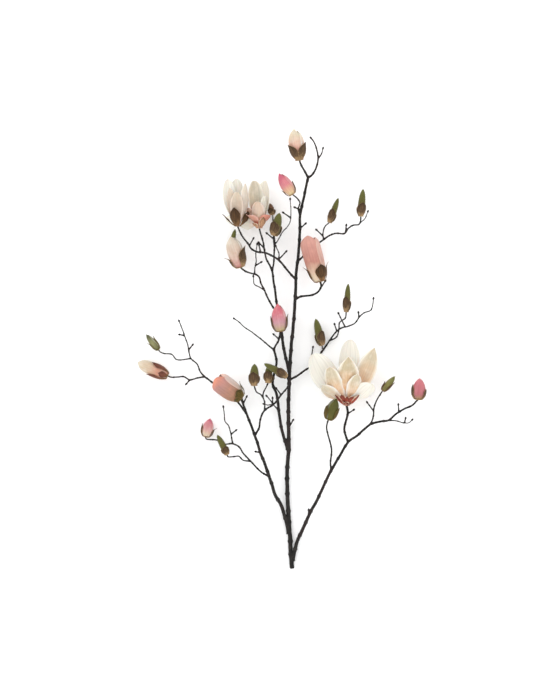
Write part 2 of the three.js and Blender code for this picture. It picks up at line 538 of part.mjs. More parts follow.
const HEADS = {
  head_01: closed([46, 472, 72], [33, 550, 84], 19.5, {
    body: "peach", turn: 100, shape: OVATE, bracts: [[128, 38, 0.55], [52, 38, 0.55]],
  }),
  head_02: closed([29, 387, 73], [-5, 440, 80], 15, {
    body: "rose", turn: 95, bracts: [[330, 28, 0.48], [190, 24, 0.36]],
  }),
  head_03: opening([-108, 308, 64], [-108, 428, 74], [11, 62], {
    body: "white", scales: "darkBrown",
    tepals: [tepal(98, 88, 38, [40, -2, -6], 1), tepal(20, 106, 34, [30, 0, -2], 0.8, 30),
      tepal(160, 96, 32, [30, 0, 0], 0.8, -35), tepal(262, 118, 40, [28, 4, 0]),
      tepal(215, 118, 36, [28, 6, 4], 0.7, 50), tepal(230, 46, 28, [60, 70, 92], 0.6, -75)],
    bracts: [bract(108, 52, 24, [60, 14, -2]), bract(8, 44, 16, [60, 20, 4]),
      bract(165, 44, 12, [64, 38, 40])],
  }),
  head_04: opening([-54, 304, 50], [-56, 424, 60], [9, 12], {
    body: "cream", centre: { radius: 6, length: 26 },
    tepals: [tepal(240, 118, 48, [24, 6, 0]), tepal(308, 116, 46, [26, 8, 2]),
      tepal(196, 52, 34, [62, 84, 104], 0.6, -75), tepal(115, 52, 34, [38, 46, 84], 0.7),
      tepal(50, 48, 30, [38, 44, 76], 0.7, 15), tepal(188, 46, 28, [40, 30, 34], 0.7, -60),
      tepal(5, 92, 34, [24, 4, 0], 0.8, 40)],
    bracts: [bract(80, 26, 16, [76, 66, 40]), bract(242, 26, 14, [76, 66, 74])],
  }),
  head_05: fuzzy([-21, 340, 10], [-28, 368, 10], 8.5, { reach: 0.62, body: "brown" }),
  head_06: fuzzy([-17, 285, 59], [-4, 341, 66], 14.5, { turn: 118, reach: 0.62 }),
  head_07: fuzzy([-126, 257, 17], [-115, 303, 20], 7.5, { reach: 0.4, body: "green" }),
  head_08: closed([-101, 206, 47], [-126, 284, 54], 21, {
    body: "cream", turn: 85, shape: OVATE, bracts: [[38, 44, 0.6], [166, 26, 0.42]],
  }),
  head_09: closed([98, 170, 59], [67, 286, 66], 25, {
    body: "salmon", turn: 110, scales: "darkBrown", shape: BROAD,
    bracts: [[62, 30, 0.36], [176, 16, 0.38], [5, 20, 0.36]],
  }),
  head_10: fuzzy([121, 319, 38], [147, 378, 45], 9.5, { bend: -4, reach: 0.56 }),
  head_11: fuzzy([199.5, 334, 43], [202, 402, 48], 11.5, { bend: 3, turn: 80, reach: 0.52 }),
  head_12: fuzzy([163, 95, 41], [171, 165, 48], 9.5, { bend: -3, reach: 0.56 }),
  head_13: fuzzy([103, 12, 19], [84, 77, 30], 12.5, { bend: 3, turn: 60, reach: 0.56 }),
  head_14: closed([-2, 46, 58], [-8, 117, 66], 19, {
    body: "rose", turn: 80, scales: "darkBrown", bracts: [[164, 20, 0.58], [16, 20, 0.6]],
  }),
  head_15: fuzzy([14, -67, 57], [-38, -29, 72], 11, { bend: -6, turn: 70, reach: 0.52 }),
  head_16: fuzzy([-32, -82, 58], [-30, -38, 50], 12, { turn: 105, reach: 0.62 }),
  head_17: fuzzy([-67, -89, 57], [-66, -35, 62], 14, { turn: 100, reach: 0.66 }),
  head_18: closed([-99, -120, 45], [-165, -70, 62], 26, {
    body: "dusty", turn: 110, scales: "darkBrown", shape: BROAD,
    bracts: [[80, 34, 0.28], [10, 20, 0.36]],
  }),
  head_19: closed([-307, 1, 23], [-338, 40, 28], 8, {
    body: "green", turn: 100, scales: "olive", bracts: [[15, 30, 0.72], [168, 24, 0.6]],
  }),
  head_20: closed([-284, -65, 16], [-360, -31, 18], 16.5, {
    body: "cream", turn: 75, scales: "rust", shape: OVATE,
    bracts: [[38, 18, 0.56], [150, 20, 0.62], [95, 22, 0.34]],
  }),
  head_21: closed([-189, -218, 20], [-177, -171, 24], 14.5, {
    body: "dusty", turn: 70, scales: "darkBrown", bracts: [[168, 30, 0.66], [12, 22, 0.58]],
  }),
  head_22: fuzzy([-135, -262, 38], [-155, -211, 46], 10, { bend: -4, turn: 70, reach: 0.42 }),
  head_23: opening([164, -138, 48], [166, -10, 74], [9, 14], {
    body: "peach", scales: "rust", centre: { radius: 7, length: 32 },
    tepals: [tepal(88, 128, 62, [30, 2, -2], 0.7), tepal(55, 98, 44, [32, 12, 4], 0.8, 15),
      tepal(150, 112, 50, [46, 24, 10], 0.7, -40), tepal(162, 80, 46, [66, 52, 36], 0.8, -45),
      tepal(22, 86, 56, [60, 48, 34], 0.7, 50), tepal(350, 158, 56, [36, 24, 14], 0.7, -60),
      tepal(284, 162, 58, [24, 6, 0], 0.7), tepal(196, 150, 72, [48, 32, 26], 0.6, 55)],
    bracts: [bract(128, 38, 24, [76, 52, 20]), bract(52, 38, 24, [76, 52, 20]),
      bract(90, 28, 24, [84, 64, 36])],
  }),
  head_24: closed([117.5, -173, 76], [138, -119, 84], 15.5, {
    body: "green", turn: 40, scales: "olive", bracts: [[150, 34, 0.6], [20, 34, 0.66]],
  }),
  head_25: closed([254, -102, 40], [286, -65, 44], 8, {
    body: "green", turn: 60, scales: "darkBrown", bracts: [[20, 34, 0.74], [160, 26, 0.46]],
  }),
  head_26: closed([343, -124, 44], [347, -69, 50], 17, {
    body: "rose", turn: 70, bracts: [[160, 28, 0.7], [20, 24, 0.54]],
  }),
};

// What lies inside a head's scales: its core with its tepals, grown by a clearance
function innerSolid(head, grow) {
  const foot = [head.core.radius * TEPAL_FOOT.out, TEPAL_FOOT.up];
  const free = head.tepals.map((blade) =>
    freeBlade({ ...blade, foot }, TEPAL_COLUMNS, TEPAL_THICK, grow),
  );
  const wrapped = head.hugging.map((blade) => huggingBlade(blade, head.core, grow));
  const pieces = [coreGeometry(head.core, grow), ...free, ...wrapped];
  return fuse(pieces.map((geometry) => seated(geometry, head)));
}

// A head's cup on the twig, with the scales and bracts that grow from its rim
function outerSolid(head) {
  const rim = cupRim(head);
  const top = GAP + CUP_FLOOR;
  const profile = [[0, GAP], [rim, GAP], [rim, top], [0, top]];
  const cup = new THREE.LatheGeometry(profile.map((p) => new THREE.Vector2(...p)), CUP_SIDES);
  const foot = [neckRadius(head) * BRACT_FOOT, SCALE_FOOT];
  const bracts = head.bracts.map((blade) =>
    freeBlade({ ...blade, foot, pointed: true }, BRACT_COLUMNS, SCALE_THICK, 0),
  );
  const wraps = head.wraps.map((blade) => huggingBlade(blade, head.core, 0));
  return fuse([cup, ...bracts, ...wraps].map((geometry) => seated(geometry, head)));
}

function makeCentre(head) {
  const { radius, length } = head.centre;
  const start = head.core.length + 2 * GAP;
  const cone = coreGeometry({ ...CONE, radius, length: start + length, start }, 0);
  return seated(cone, head);
}

// What the branch lies on: nothing reaches below it, so each low spot is cut flat there
const below = solid(
  new THREE.BoxGeometry(TABLE.size, TABLE.size, TABLE.depth).translate(0, 0, -TABLE.depth / 2),
);

function addMesh(group, name, body, colour, roughness) {
  const { vertProperties, triVerts } = largest(body.subtract(below)).getMesh();
  const geometry = new THREE.BufferGeometry();
  geometry.setAttribute("position", new THREE.BufferAttribute(vertProperties, 3));
  geometry.setIndex(new THREE.BufferAttribute(triVerts, 1));
  const material = new THREE.MeshStandardMaterial({ color: colour, roughness, metalness: 0 });
  const mesh = new THREE.Mesh(geometry, material);
  mesh.name = name;
  group.add(mesh);
}

const branch = new THREE.Group();
addMesh(branch, "wood", makeWood(), COLOURS.bark, ROUGHNESS.bark);
for (const [name, head] of Object.entries(HEADS)) {
  const clear = innerSolid(head, GAP);
  addMesh(branch, name + "_bud", innerSolid(head, 0), COLOURS[head.body], ROUGHNESS.bud);
  const scales = head.wraps.length ? outerSolid(head) : outerSolid(head).subtract(clear);
  addMesh(branch, name + "_scales", scales, COLOURS[head.scales], ROUGHNESS.scales);
  if (head.centre) {
    const centre = makeCentre(head).subtract(clear);
    addMesh(branch, name + "_centre", centre, COLOURS.stamen, ROUGHNESS.centre);
  }
}

export default branch;
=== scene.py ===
import math
import random

import bmesh
import bpy
from mathutils import Matrix, Vector, noise


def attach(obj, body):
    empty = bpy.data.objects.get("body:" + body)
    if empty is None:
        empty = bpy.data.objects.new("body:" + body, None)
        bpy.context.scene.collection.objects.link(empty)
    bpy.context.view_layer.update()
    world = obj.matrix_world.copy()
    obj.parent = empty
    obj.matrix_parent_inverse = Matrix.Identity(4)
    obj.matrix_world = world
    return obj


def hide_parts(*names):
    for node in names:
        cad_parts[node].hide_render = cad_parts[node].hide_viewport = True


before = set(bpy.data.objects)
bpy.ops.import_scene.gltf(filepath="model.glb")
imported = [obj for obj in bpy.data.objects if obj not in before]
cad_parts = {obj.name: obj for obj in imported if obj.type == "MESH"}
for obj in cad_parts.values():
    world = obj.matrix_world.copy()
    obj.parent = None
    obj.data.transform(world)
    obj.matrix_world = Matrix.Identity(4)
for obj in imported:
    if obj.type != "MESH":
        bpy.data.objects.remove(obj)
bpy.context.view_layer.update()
scene = bpy.context.scene

# View. The branch is seen from straight above through a long lens, so the top of the picture is
# the way it grows. The picture's height covers 1.75 m at the middle of the branch's thickness.
MM = 0.001
PHOTO_SIZE = (560, 700)
PHOTO_PIXEL = 2.5 * MM
PHOTO_CENTRE = Vector((-2.5, 0, 45)) * MM
CAMERA_HEIGHT = 6.0
SENSOR = 36.0

view = bpy.data.cameras.new("view")
view.sensor_width = SENSOR
view.lens = SENSOR * CAMERA_HEIGHT / (PHOTO_SIZE[1] * PHOTO_PIXEL)
camera = bpy.data.objects.new("view", view)
camera.location = PHOTO_CENTRE + Vector((0, 0, CAMERA_HEIGHT))
scene.collection.objects.link(camera)
scene.camera = camera


# Table and light. The table top is matt white board, and the light is a bright tent of white
# cloth with a large soft lamp at the upper left, so shadows are faint.
FLOOR_SIZE = 12.0
FLOOR_COLOUR = "#fefefe"
SKY = {"colour": "#ffffff", "strength": 1.3}
LAMPS = {
    "key": {"at": (-1.6, 1.4, 2.6), "size": 2.6, "power": 13},
    "fill": {"at": (1.8, -1.2, 2.4), "size": 2.6, "power": 4},
}


def linear(colour):
    """An sRGB hex colour as the linear red, green, blue and alpha that shaders take."""
    shares = [int(colour[i:i + 2], 16) / 255 for i in (1, 3, 5)]
    return [s / 12.92 if s <= 0.04045 else ((s + 0.055) / 1.055) ** 2.4 for s in shares] + [1.0]


def new_material(name):
    material = bpy.data.materials.new(name)
    material.use_nodes = True
    material.node_tree.nodes.clear()
    return material


def add_node(material, kind, inputs=None, stops=(), output=0, **settings):
    """Adds a node and gives the output asked for. An input is given its value, or the socket that
    it is linked from, and stops are a ramp's places and colours."""
    tree = material.node_tree
    made = tree.nodes.new("ShaderNode" + kind)
    for name, value in settings.items():
        setattr(made, name, value)
    for name, value in (inputs or {}).items():
        if isinstance(value, bpy.types.NodeSocket):
            tree.links.new(value, made.inputs[name])
        else:
            made.inputs[name].default_value = value
    if stops:
        ramp = made.color_ramp
        while len(ramp.elements) < len(stops):
            ramp.elements.new(0.5)
        for element, (place, colour) in zip(ramp.elements, stops):
            element.position = place
            element.color = linear(colour)
    return made.outputs[output] if made.outputs else None


board = new_material("matt_white_board")
board_finish = add_node(board, "BsdfPrincipled", {
    "Base Color": linear(FLOOR_COLOUR), "Roughness": 0.9, "Specular IOR Level": 0.1,
})
add_node(board, "OutputMaterial", {"Surface": board_finish})

floor_mesh = bmesh.new()
bmesh.ops.create_grid(floor_mesh, x_segments=1, y_segments=1, size=FLOOR_SIZE / 2)
floor_data = bpy.data.meshes.new("table_top")
floor_mesh.to_mesh(floor_data)
floor_mesh.free()
floor_data.materials.append(board)
table_top = bpy.data.objects.new("table_top", floor_data)
scene.collection.objects.link(table_top)

sky = bpy.data.worlds.new("tent")
sky.use_nodes = True
tent = sky.node_tree.nodes["Background"]
tent.inputs["Color"].default_value = linear(SKY["colour"])
tent.inputs["Strength"].default_value = SKY["strength"]
scene.world = sky
scene.view_settings.view_transform = "Standard"

for name, lamp in LAMPS.items():
    light = bpy.data.lights.new(name, "AREA")
    light.size = lamp["size"]
    light.energy = lamp["power"]
    holder = bpy.data.objects.new(name, light)
    holder.location = lamp["at"]
    holder.rotation_euler = (-Vector(lamp["at"])).to_track_quat("-Z", "Y").to_euler()
    scene.collection.objects.link(holder)


# Wood. Trunk, limbs and twigs are one grown piece, with a swelling at each old leaf scar, a
# collar where a stem leaves another, and a small dark leaf bud at the end of each bare twig.
# Each stem is its two end radii and the points of its middle line. A stem marked bud ends in one.
STEMS = [
    # trunk, from the cut end to the top fork
    (5.8, 3.3, [(28, -550, 4.7), (25, -512, 5), (20, -435, 8.6), (16, -355, 13.5),
     (15.5, -300, 16.5), (19.5, -242, 20), (18.5, -150, 26), (21, -72, 31), (25, 0, 37),
     (32, 75, 43), (36, 145, 48), (38, 195, 52), (44.5, 250, 57), (47, 300, 61),
     (47.5, 335, 63), (57.5, 382, 65), (67.5, 430, 66)]),
    # top left fork, to head_01, and the top right fork with its side twig
    (2.8, 2.4, [(67.5, 430, 66), (59, 445, 67), (50, 461, 70), (46, 472, 72)]),
    (2.8, 1.8, [(67.5, 430, 66), (76, 435, 65), (86, 450, 64), (92.5, 477, 61), (88, 505, 60),
     (81, 521, 60), (76, 527, 60)], "bud"),
    (1.9, 1.5, [(92.5, 477, 61), (101, 489, 62), (104, 500, 63)], "bud"),
    # twig to head_02
    (2.2, 1.9, [(47.5, 335, 63), (43, 352, 68), (47, 367, 72), (41, 376, 73), (29, 387, 73)]),
    # right limb, to head_26
    (4.9, 2.4, [(29, -530, 8), (39, -487, 13), (56, -447, 19), (75, -404, 25), (91, -375, 29),
     (115, -322, 37), (126, -301, 40), (150, -259, 46), (168, -230, 50), (191, -213, 52),
     (224, -185, 53), (252, -178, 54), (268, -176, 54), (288, -159, 52), (308, -147, 48),
     (330, -137, 45), (339, -127, 44), (343, -124, 44)]),
    # off the right limb: to head_24, head_23 and head_25, and a bare twig
    (2.5, 2.1, [(125, -302, 40), (124, -280, 46), (126.5, -250, 56), (117, -210, 68),
     (113.5, -192, 72), (117.5, -173, 76)]),
    (2.9, 3.1, [(168, -231, 50), (161, -212, 52), (158, -197, 52), (165, -167, 50),
     (167, -156, 49), (164, -138, 48)]),
    (2.3, 1.9, [(207, -199, 52), (225, -182, 45), (231, -165, 40), (233, -145, 38),
     (240, -125, 38), (254, -102, 40)]),
    (1.8, 1.4, [(268, -176, 54), (288, -177, 57), (308, -182, 60), (320, -181, 61),
     (325, -176, 62)], "bud"),
    # left limb, to head_18
    (5.1, 2.9, [(20, -462, 9), (10, -420, 14), (-1, -387, 19), (-14, -365, 23), (-22, -341, 27),
     (-40, -287, 35), (-51, -259, 39), (-61, -227, 42), (-72, -195, 43), (-82, -170, 43),
     (-97, -128, 44), (-99, -120, 45)]),
    # long twig behind head_18, its fork, and the arms to head_19 and head_20
    (2.6, 2.3, [(-87, -158, 43), (-108, -131, 25), (-122, -120, 18), (-147, -102, 14),
     (-180, -76, 15), (-192, -67, 17)]),
    (2.1, 1.6, [(-192, -67, 17), (-203, -54, 20), (-210, -36, 22), (-226, -21, 25),
     (-231, -4, 28), (-234, 14, 31), (-240, 31, 34), (-245, 47, 37), (-254, 70, 40)], "bud"),
    (1.9, 1.7, [(-226, -21, 25), (-237, -23, 25), (-262, -24, 24), (-274, -11, 23),
     (-292, -9, 22), (-304, -4, 22), (-307, 1, 23)]),
    (2.1, 2, [(-192, -67, 17), (-209, -70, 16), (-229, -75, 15), (-244, -67, 15),
     (-260, -68, 15), (-277, -68, 15), (-284, -65, 16)]),
    # low twig off the left limb, to head_21, with an upright arm, and the arm to head_22
    (2.4, 1.9, [(-30, -317, 31), (-46, -308, 29), (-61, -295, 27), (-74, -281, 25),
     (-95, -259, 23), (-104, -244, 23), (-121, -235, 23), (-142, -236, 22), (-162, -226, 20),
     (-180, -225, 20), (-188, -223, 20), (-189.5, -218, 20)]),
    (1.9, 1.5, [(-121, -235, 23), (-127, -205, 30), (-132, -189, 32), (-140, -179, 34),
     (-142, -160, 36), (-144, -145, 38)], "bud"),
    (1.9, 1.9, [(-77, -279, 25), (-95, -276, 30), (-106, -266, 34), (-120, -267, 37),
     (-133, -267, 38), (-135, -262, 38.5)]),
    # twig across the trunk's front, to head_15, with arms to head_16 and head_17
    (2.6, 2.2, [(-64, -211, 43), (-55, -195, 47), (-52, -175, 50), (-45, -156, 52),
     (-35, -146, 53), (-21, -138, 54), (-10, -127, 55), (0, -112, 56), (10, -101, 56),
     (18, -90, 56), (20, -80, 56), (14, -67, 57)]),
    (1.9, 1.9, [(-41, -149, 53), (-41, -129, 55), (-45, -119, 56), (-50, -112, 56),
     (-61, -105, 56), (-67, -89, 57)]),
    (1.8, 1.9, [(-45, -119, 56), (-44, -107, 57), (-36, -91, 58), (-32, -82, 58)]),
    (1.6, 1.4, [(-20, -137, 54), (-27, -125, 55), (-34, -117, 56)], "bud"),
    # inner left stem, its two ends (head_14 on the right one) and a side twig
    (4.2, 3, [(17, -250, 20), (12, -235, 22), (2, -201, 27), (-1, -183, 29), (-5, -157, 31),
     (-8, -130, 33), (-12, -107, 34), (-21, -85, 34), (-16, -55, 34), (-11, -29, 36),
     (-14, -12, 39), (-18, 1, 42)]),
    (2.1, 1.6, [(-18, 1, 42), (-32, 12, 43), (-52, 29, 44), (-72, 44, 44), (-90, 56, 44),
     (-105, 70, 44), (-115, 77, 44)], "bud"),
    (2.4, 2.4, [(-18, 1, 42), (-14, 10, 46), (-5, 26, 53), (-2, 46, 58)]),
    (1.7, 1.4, [(-6, -152, 31), (-21, -137, 34), (-33, -138, 36), (-40, -136, 37)], "bud"),
    # second upper stem, its fork to head_04 and head_06, and the thin twigs there
    (4.2, 2.7, [(21, -55, 32), (16, -35, 31), (12, -20, 30), (5, 15, 29), (1, 47, 29),
     (-6, 92, 32), (-11, 120, 36), (-14, 142, 39), (-19, 175, 43), (-22, 198, 45)]),
    (2.4, 2.2, [(-22, 198, 45), (-28, 211, 46), (-37, 229, 47), (-41, 249, 48), (-45, 271, 49),
     (-52, 295, 50), (-54, 304, 50)]),
    (2.3, 2.3, [(-22, 198, 45), (-18, 219, 50), (-17, 247, 54), (-16, 270, 57), (-17, 285, 59)]),
    (1.6, 1.6, [(-17, 258, 55), (-19, 275, 38), (-19, 298, 22), (-20, 325, 10), (-21, 340, 10)]),
    (1.6, 1.3, [(-16, 262, 56), (-6, 276, 56), (4, 295, 56), (15, 306, 56), (23, 320, 56),
     (25, 345, 55), (23, 374, 52)], "bud"),
    # twig to head_08, the hidden one to head_07 and two bare ones
    (2.5, 2.1, [(-7, 92, 32), (-21, 109, 33), (-34, 132, 36), (-41, 149, 38), (-50, 166, 40),
     (-54, 181, 42), (-59, 187, 43), (-75, 192, 44), (-90, 197, 46), (-101, 206, 47)]),
    (1.6, 1.6, [(-82, 194, 45), (-98, 205, 26), (-116, 232, 17), (-126, 257, 17)]),
    (1.7, 1.4, [(-41, 149, 38), (-55, 158, 35), (-67, 165, 33), (-69, 182, 30)], "bud"),
    (1.7, 1.4, [(-66, 190, 44), (-65, 207, 46), (-62, 221, 47), (-63, 237, 48),
     (-60, 262, 48)], "bud"),
    # twig that crosses in front, to head_03, with a bare arm
    (2.9, 2.2, [(37, 177, 52), (27, 186, 60), (15, 200, 66), (2, 216, 70), (-10, 227, 73),
     (-24, 235, 74), (-40, 242, 75), (-60, 244, 75), (-74, 252, 73), (-82, 265, 71),
     (-96, 282, 68), (-108, 308, 64)]),
    (1.6, 1.4, [(-6, 226, 72), (-5, 240, 73), (-12, 256, 74)], "bud"),
    # twig to head_09
    (2.8, 2.5, [(36, 127, 47), (50, 134, 50), (61, 135, 52), (80, 138, 54), (94, 147, 56),
     (100, 160, 58), (98, 170, 59)]),
    # twig behind head_09, to head_11, with arms to head_10 and to a bare tip
    (2.6, 2, [(41, 220, 54), (50, 229, 42), (62, 240, 28), (80, 257, 22), (107, 277, 27),
     (122, 287, 33), (137, 292, 36), (160, 292, 39), (168, 304, 41), (180, 312, 42),
     (195, 314, 42), (199, 322, 42), (199.5, 334, 43)]),
    (1.8, 1.7, [(107, 277, 27), (105, 292, 32), (110, 309, 36), (121, 319, 38)]),
    (1.5, 1.3, [(198, 318, 42), (211, 330, 30), (217, 345, 25)], "bud"),
    # twig behind the big bloom, with arms to head_13, head_12 and a bare tip
    (2.8, 1.6, [(21, -75, 31), (40, -65, 28), (60, -51, 18), (72, -43, 11), (89, -22, 4),
     (106, 0, 2), (117, 16, 6), (137, 44, 24), (151, 55, 33), (167, 59, 38), (185, 67, 40),
     (195, 81, 40), (206, 92, 40), (225, 100, 40), (230, 117, 40), (231, 126, 40)], "bud"),
    (1.8, 1.9, [(106, -1, 3), (104, 5, 11), (103, 12, 19)]),
    (1.8, 1.9, [(122, 23, 11), (139, 32, 18), (145, 50, 26), (147, 69, 34), (161, 80, 38),
     (163, 95, 41)]),
]
# Short spurs with a leaf bud, each from inside its stem to the foot of the bud
SPURS = [
    ((19, -196, 25), (29, -178, 31)), ((47, 303, 61), (59, 313, 64)),
    ((46, 350, 66), (37, 354, 68)), ((68, -419, 24), (69, -404, 27)),
    ((167, -159, 49), (179, -151, 52)), ((232, -153, 38), (217, -133, 44)),
    ((294, -155, 51), (293, -139, 55)), ((308, -182, 60), (310, -173, 61)),
    ((-52, -257, 39), (-60, -255, 41)), ((-94, -133, 44), (-87, -119, 48)),
    ((-231, 1, 28), (-223, 11, 31)), ((-242, 36, 35), (-251, 38, 36)),
    ((-229, -75, 15), (-236, -83, 15)), ((-125, -211, 29), (-115, -203, 31)),
    ((0, -112, 56), (-10, -98, 58)), ((-21, -136, 54), (-21, -123, 56)),
    ((-5, 27, 53), (-16, 37, 54)), ((-42, 254, 48), (-53, 266, 49)),
    ((-17, 276, 58), (-33, 289, 60)), ((24, 330, 56), (8, 341, 57)),
    ((-65, 210, 46), (-52, 218, 48)), ((-79, 259, 72), (-70, 275, 74)),
    ((-51, 243, 75), (-54, 258, 77)), ((-6, 225, 72), (11, 243, 76)),
    ((99, 155, 57), (109, 170, 56)), ((161, 293, 39), (163, 309, 41)),
    ((105, 286, 30), (91, 299, 31)), ((195, 81, 40), (194, 91, 42)),
    ((161, 57, 37), (145, 89, 43)), ((140, 47, 27), (135, 62, 33)),
    ((72, -43, 11), (80, 4, 11)),
]
SPUR_RADII = (1.9, 1.7)
# A leaf bud's reach along its twig and its radius there, from foot to tip
LEAF_BUD = [(1.4, 2.6), (3.2, 3.0), (5.2, 2.4), (6.8, 1.3), (7.6, 0.5)]
RING_STEP = 2.0
TWIG_RADIUS = 3
KNUCKLE = {"apart": (14, 30), "swell": 0.3, "half_length": 1.7}
COLLAR = {"swell": 0.45, "length": 5.0}
WANDER = {"width": 0.5, "length": 22, "still_rings": 6}
BARK_VOXEL = 0.95
BARK_SMOOTHINGS = 2
BARK_RELIEF = {"height": 0.2, "grain": 3.2}
BARK_FACES_KEPT = 0.48
CUT_END = -550.2
WOOD_SEED = 7


def smooth_line(points, step):
    """Points about a step apart on the centripetal curve that passes through the given ones."""
    knots = [2 * points[0] - points[1], *points, 2 * points[-1] - points[-2]]
    line = []
    for a, b, c, d in zip(knots, knots[1:], knots[2:], knots[3:]):
        t1 = (b - a).length ** 0.5
        t2 = t1 + (c - b).length ** 0.5
        t3 = t2 + (d - c).length ** 0.5
        count = max(1, round((c - b).length / step))
        for k in range(count):
            t = t1 + (t2 - t1) * k / count
            ab = a.lerp(b, t / t1)
            bc = b.lerp(c, (t - t1) / (t2 - t1))
            cd = c.lerp(d, (t - t2) / (t3 - t2))
            before = ab.lerp(bc, t / t2)
            after = bc.lerp(cd, (t - t1) / (t3 - t1))
            line.append(before.lerp(after, (t - t1) / (t2 - t1)))
    return line + [points[-1]]


def stem_rings(start, end, points, draw, grown_from_stem):
    """The middle and radius of each ring of a stem, with its knuckles and its collar."""
    line = smooth_line([Vector(p) for p in points], RING_STEP)
    thick = max(1.0, start / TWIG_RADIUS)
    travelled = 0.0
    knuckle = draw.uniform(*KNUCKLE["apart"]) * thick
    rings = []
    for i, point in enumerate(line):
        travelled += (point - line[i - 1]).length if i else 0
        if travelled > knuckle + 3 * KNUCKLE["half_length"] * thick:
            knuckle += draw.uniform(*KNUCKLE["apart"]) * thick
        off = (travelled - knuckle) / (KNUCKLE["half_length"] * thick)
        swell = 1 + KNUCKLE["swell"] * math.exp(-off * off)
        if grown_from_stem:
            swell += COLLAR["swell"] * math.exp(-travelled / COLLAR["length"])
        ends = min(1.0, i / WANDER["still_rings"], (len(line) - 1 - i) / WANDER["still_rings"])
        wander = noise.noise_vector(point / WANDER["length"]) * WANDER["width"] * ends * thick
        radius = start + (end - start) * i / (len(line) - 1)
        rings.append((point + wander, radius * swell))
    return rings


def leaf_bud_rings(before, foot):
    along = (Vector(foot) - Vector(before)).normalized()
    return [(Vector(foot) + along * reach, radius) for reach, radius in LEAF_BUD]


def worked_mesh(worked):
    """The mesh of a working object as its modifiers leave it. The object itself is removed."""
    mesh = bpy.data.meshes.new_from_object(
        worked.evaluated_get(bpy.context.evaluated_depsgraph_get()))
    bpy.data.objects.remove(worked)
    return mesh


draw = random.Random(WOOD_SEED)
noise.seed_set(WOOD_SEED)
wood_rings = []
for number, (start, end, points, *bud) in enumerate(STEMS):
    rings = stem_rings(start, end, points, draw, number > 0)
    if bud:
        rings += leaf_bud_rings(*points[-2:])
    wood_rings.append(rings)
for spur in SPURS:
    wood_rings.append(stem_rings(*SPUR_RADII, spur, draw, True) + leaf_bud_rings(*spur))

lines = bpy.data.curves.new("stem_lines", "CURVE")
lines.dimensions = "3D"
lines.bevel_depth = 1.0
lines.bevel_resolution = 3
lines.use_fill_caps = True
for rings in wood_rings:
    spline = lines.splines.new("POLY")
    spline.points.add(len(rings) - 1)
    for knot, (place, radius) in zip(spline.points, rings):
        knot.co = (*(place * MM), 1)
        knot.radius = radius * MM
stem_lines = bpy.data.objects.new("stem_lines", lines)
scene.collection.objects.link(stem_lines)
tubes = bpy.data.objects.new("tubes", bpy.data.meshes.new_from_object(stem_lines))
bpy.data.objects.remove(stem_lines)
scene.collection.objects.link(tubes)
grow_together = tubes.modifiers.new("grow_together", "REMESH")
grow_together.mode = "VOXEL"
grow_together.voxel_size = BARK_VOXEL * MM
bark_mesh = worked_mesh(tubes)

bark_form = bmesh.new()
bark_form.from_mesh(bark_mesh)
for _ in range(BARK_SMOOTHINGS):
    bmesh.ops.smooth_vert(bark_form, verts=bark_form.verts, factor=0.5,
                          use_axis_x=True, use_axis_y=True, use_axis_z=True)
bark_form.normal_update()
for vert in bark_form.verts:
    relief = noise.noise(vert.co / (BARK_RELIEF["grain"] * MM))
    vert.co += vert.normal * relief * BARK_RELIEF["height"] * MM
bark_form.to_mesh(bark_mesh)
bark_form.free()
rough_bark = bpy.data.objects.new("rough_bark", bark_mesh)
scene.collection.objects.link(rough_bark)
thinned = rough_bark.modifiers.new("thinned", "DECIMATE")
thinned.ratio = BARK_FACES_KEPT
bark_mesh = worked_mesh(rough_bark)
for vert in bark_mesh.vertices:
    vert.co.y = max(vert.co.y, CUT_END * MM)
    vert.co.z = max(vert.co.z, 0)
bark_mesh.name = "bark"


def add_surface(skin, colour, height, bump, finish):
    """Ends a skin with its colour, its finish, and its bump's strength and depth in mm."""
    relief = add_node(skin, "Bump", {
        "Height": height, "Strength": bump[0], "Distance": bump[1] * MM,
    })
    surface = add_node(skin, "BsdfPrincipled", {
        "Base Color": colour, "Normal": relief, **finish,
    })
    add_node(skin, "OutputMaterial", {"Surface": surface})


# Dry magnolia bark: thin, nearly black grey-brown with a warm tint, matt, with small pale pores
# about 3 mm apart. Young wood shows a dull red-brown in places.
BARK = {"dark": "#0b0a09", "mid": "#151210", "light": "#2c2723", "red": "#261816",
        "pore": "#544b43"}
bark = new_material("dry_magnolia_bark")
bark_place = add_node(bark, "TexCoord", output="Object")
patch = add_node(bark, "TexNoise", {"Vector": bark_place, "Scale": 1 / (14 * MM), "Detail": 5})
bark_tone = add_node(bark, "ValToRGB", {"Fac": patch}, stops=[
    (0.3, BARK["dark"]), (0.52, BARK["mid"]), (0.72, BARK["light"]),
])
red_patch = add_node(bark, "TexNoise", {"Vector": bark_place, "Scale": 1 / (60 * MM), "Detail": 2})
red_share = add_node(bark, "MapRange", {
    "Value": red_patch, "From Min": 0.5, "From Max": 0.68, "To Max": 0.6,
})
pores = add_node(bark, "TexVoronoi", {"Vector": bark_place, "Scale": 1 / (3.2 * MM)})
pore_share = add_node(bark, "MapRange", {
    "Value": pores, "From Min": 0.12, "From Max": 0.22, "To Min": 0.7, "To Max": 0.0,
})
for share, colour in ((red_share, BARK["red"]), (pore_share, BARK["pore"])):
    bark_tone = add_node(bark, "MixRGB", {
        "Fac": share, "Color1": bark_tone, "Color2": linear(colour),
    })
grain = add_node(bark, "TexNoise", {"Vector": bark_place, "Scale": 1 / (1.1 * MM), "Detail": 6})
bark_height = add_node(bark, "Math", {0: grain, 1: pore_share}, operation="ADD")
add_surface(bark, bark_tone, bark_height, bump=(0.55, 0.5), finish={
    "Roughness": 0.7, "Specular IOR Level": 0.3,
})


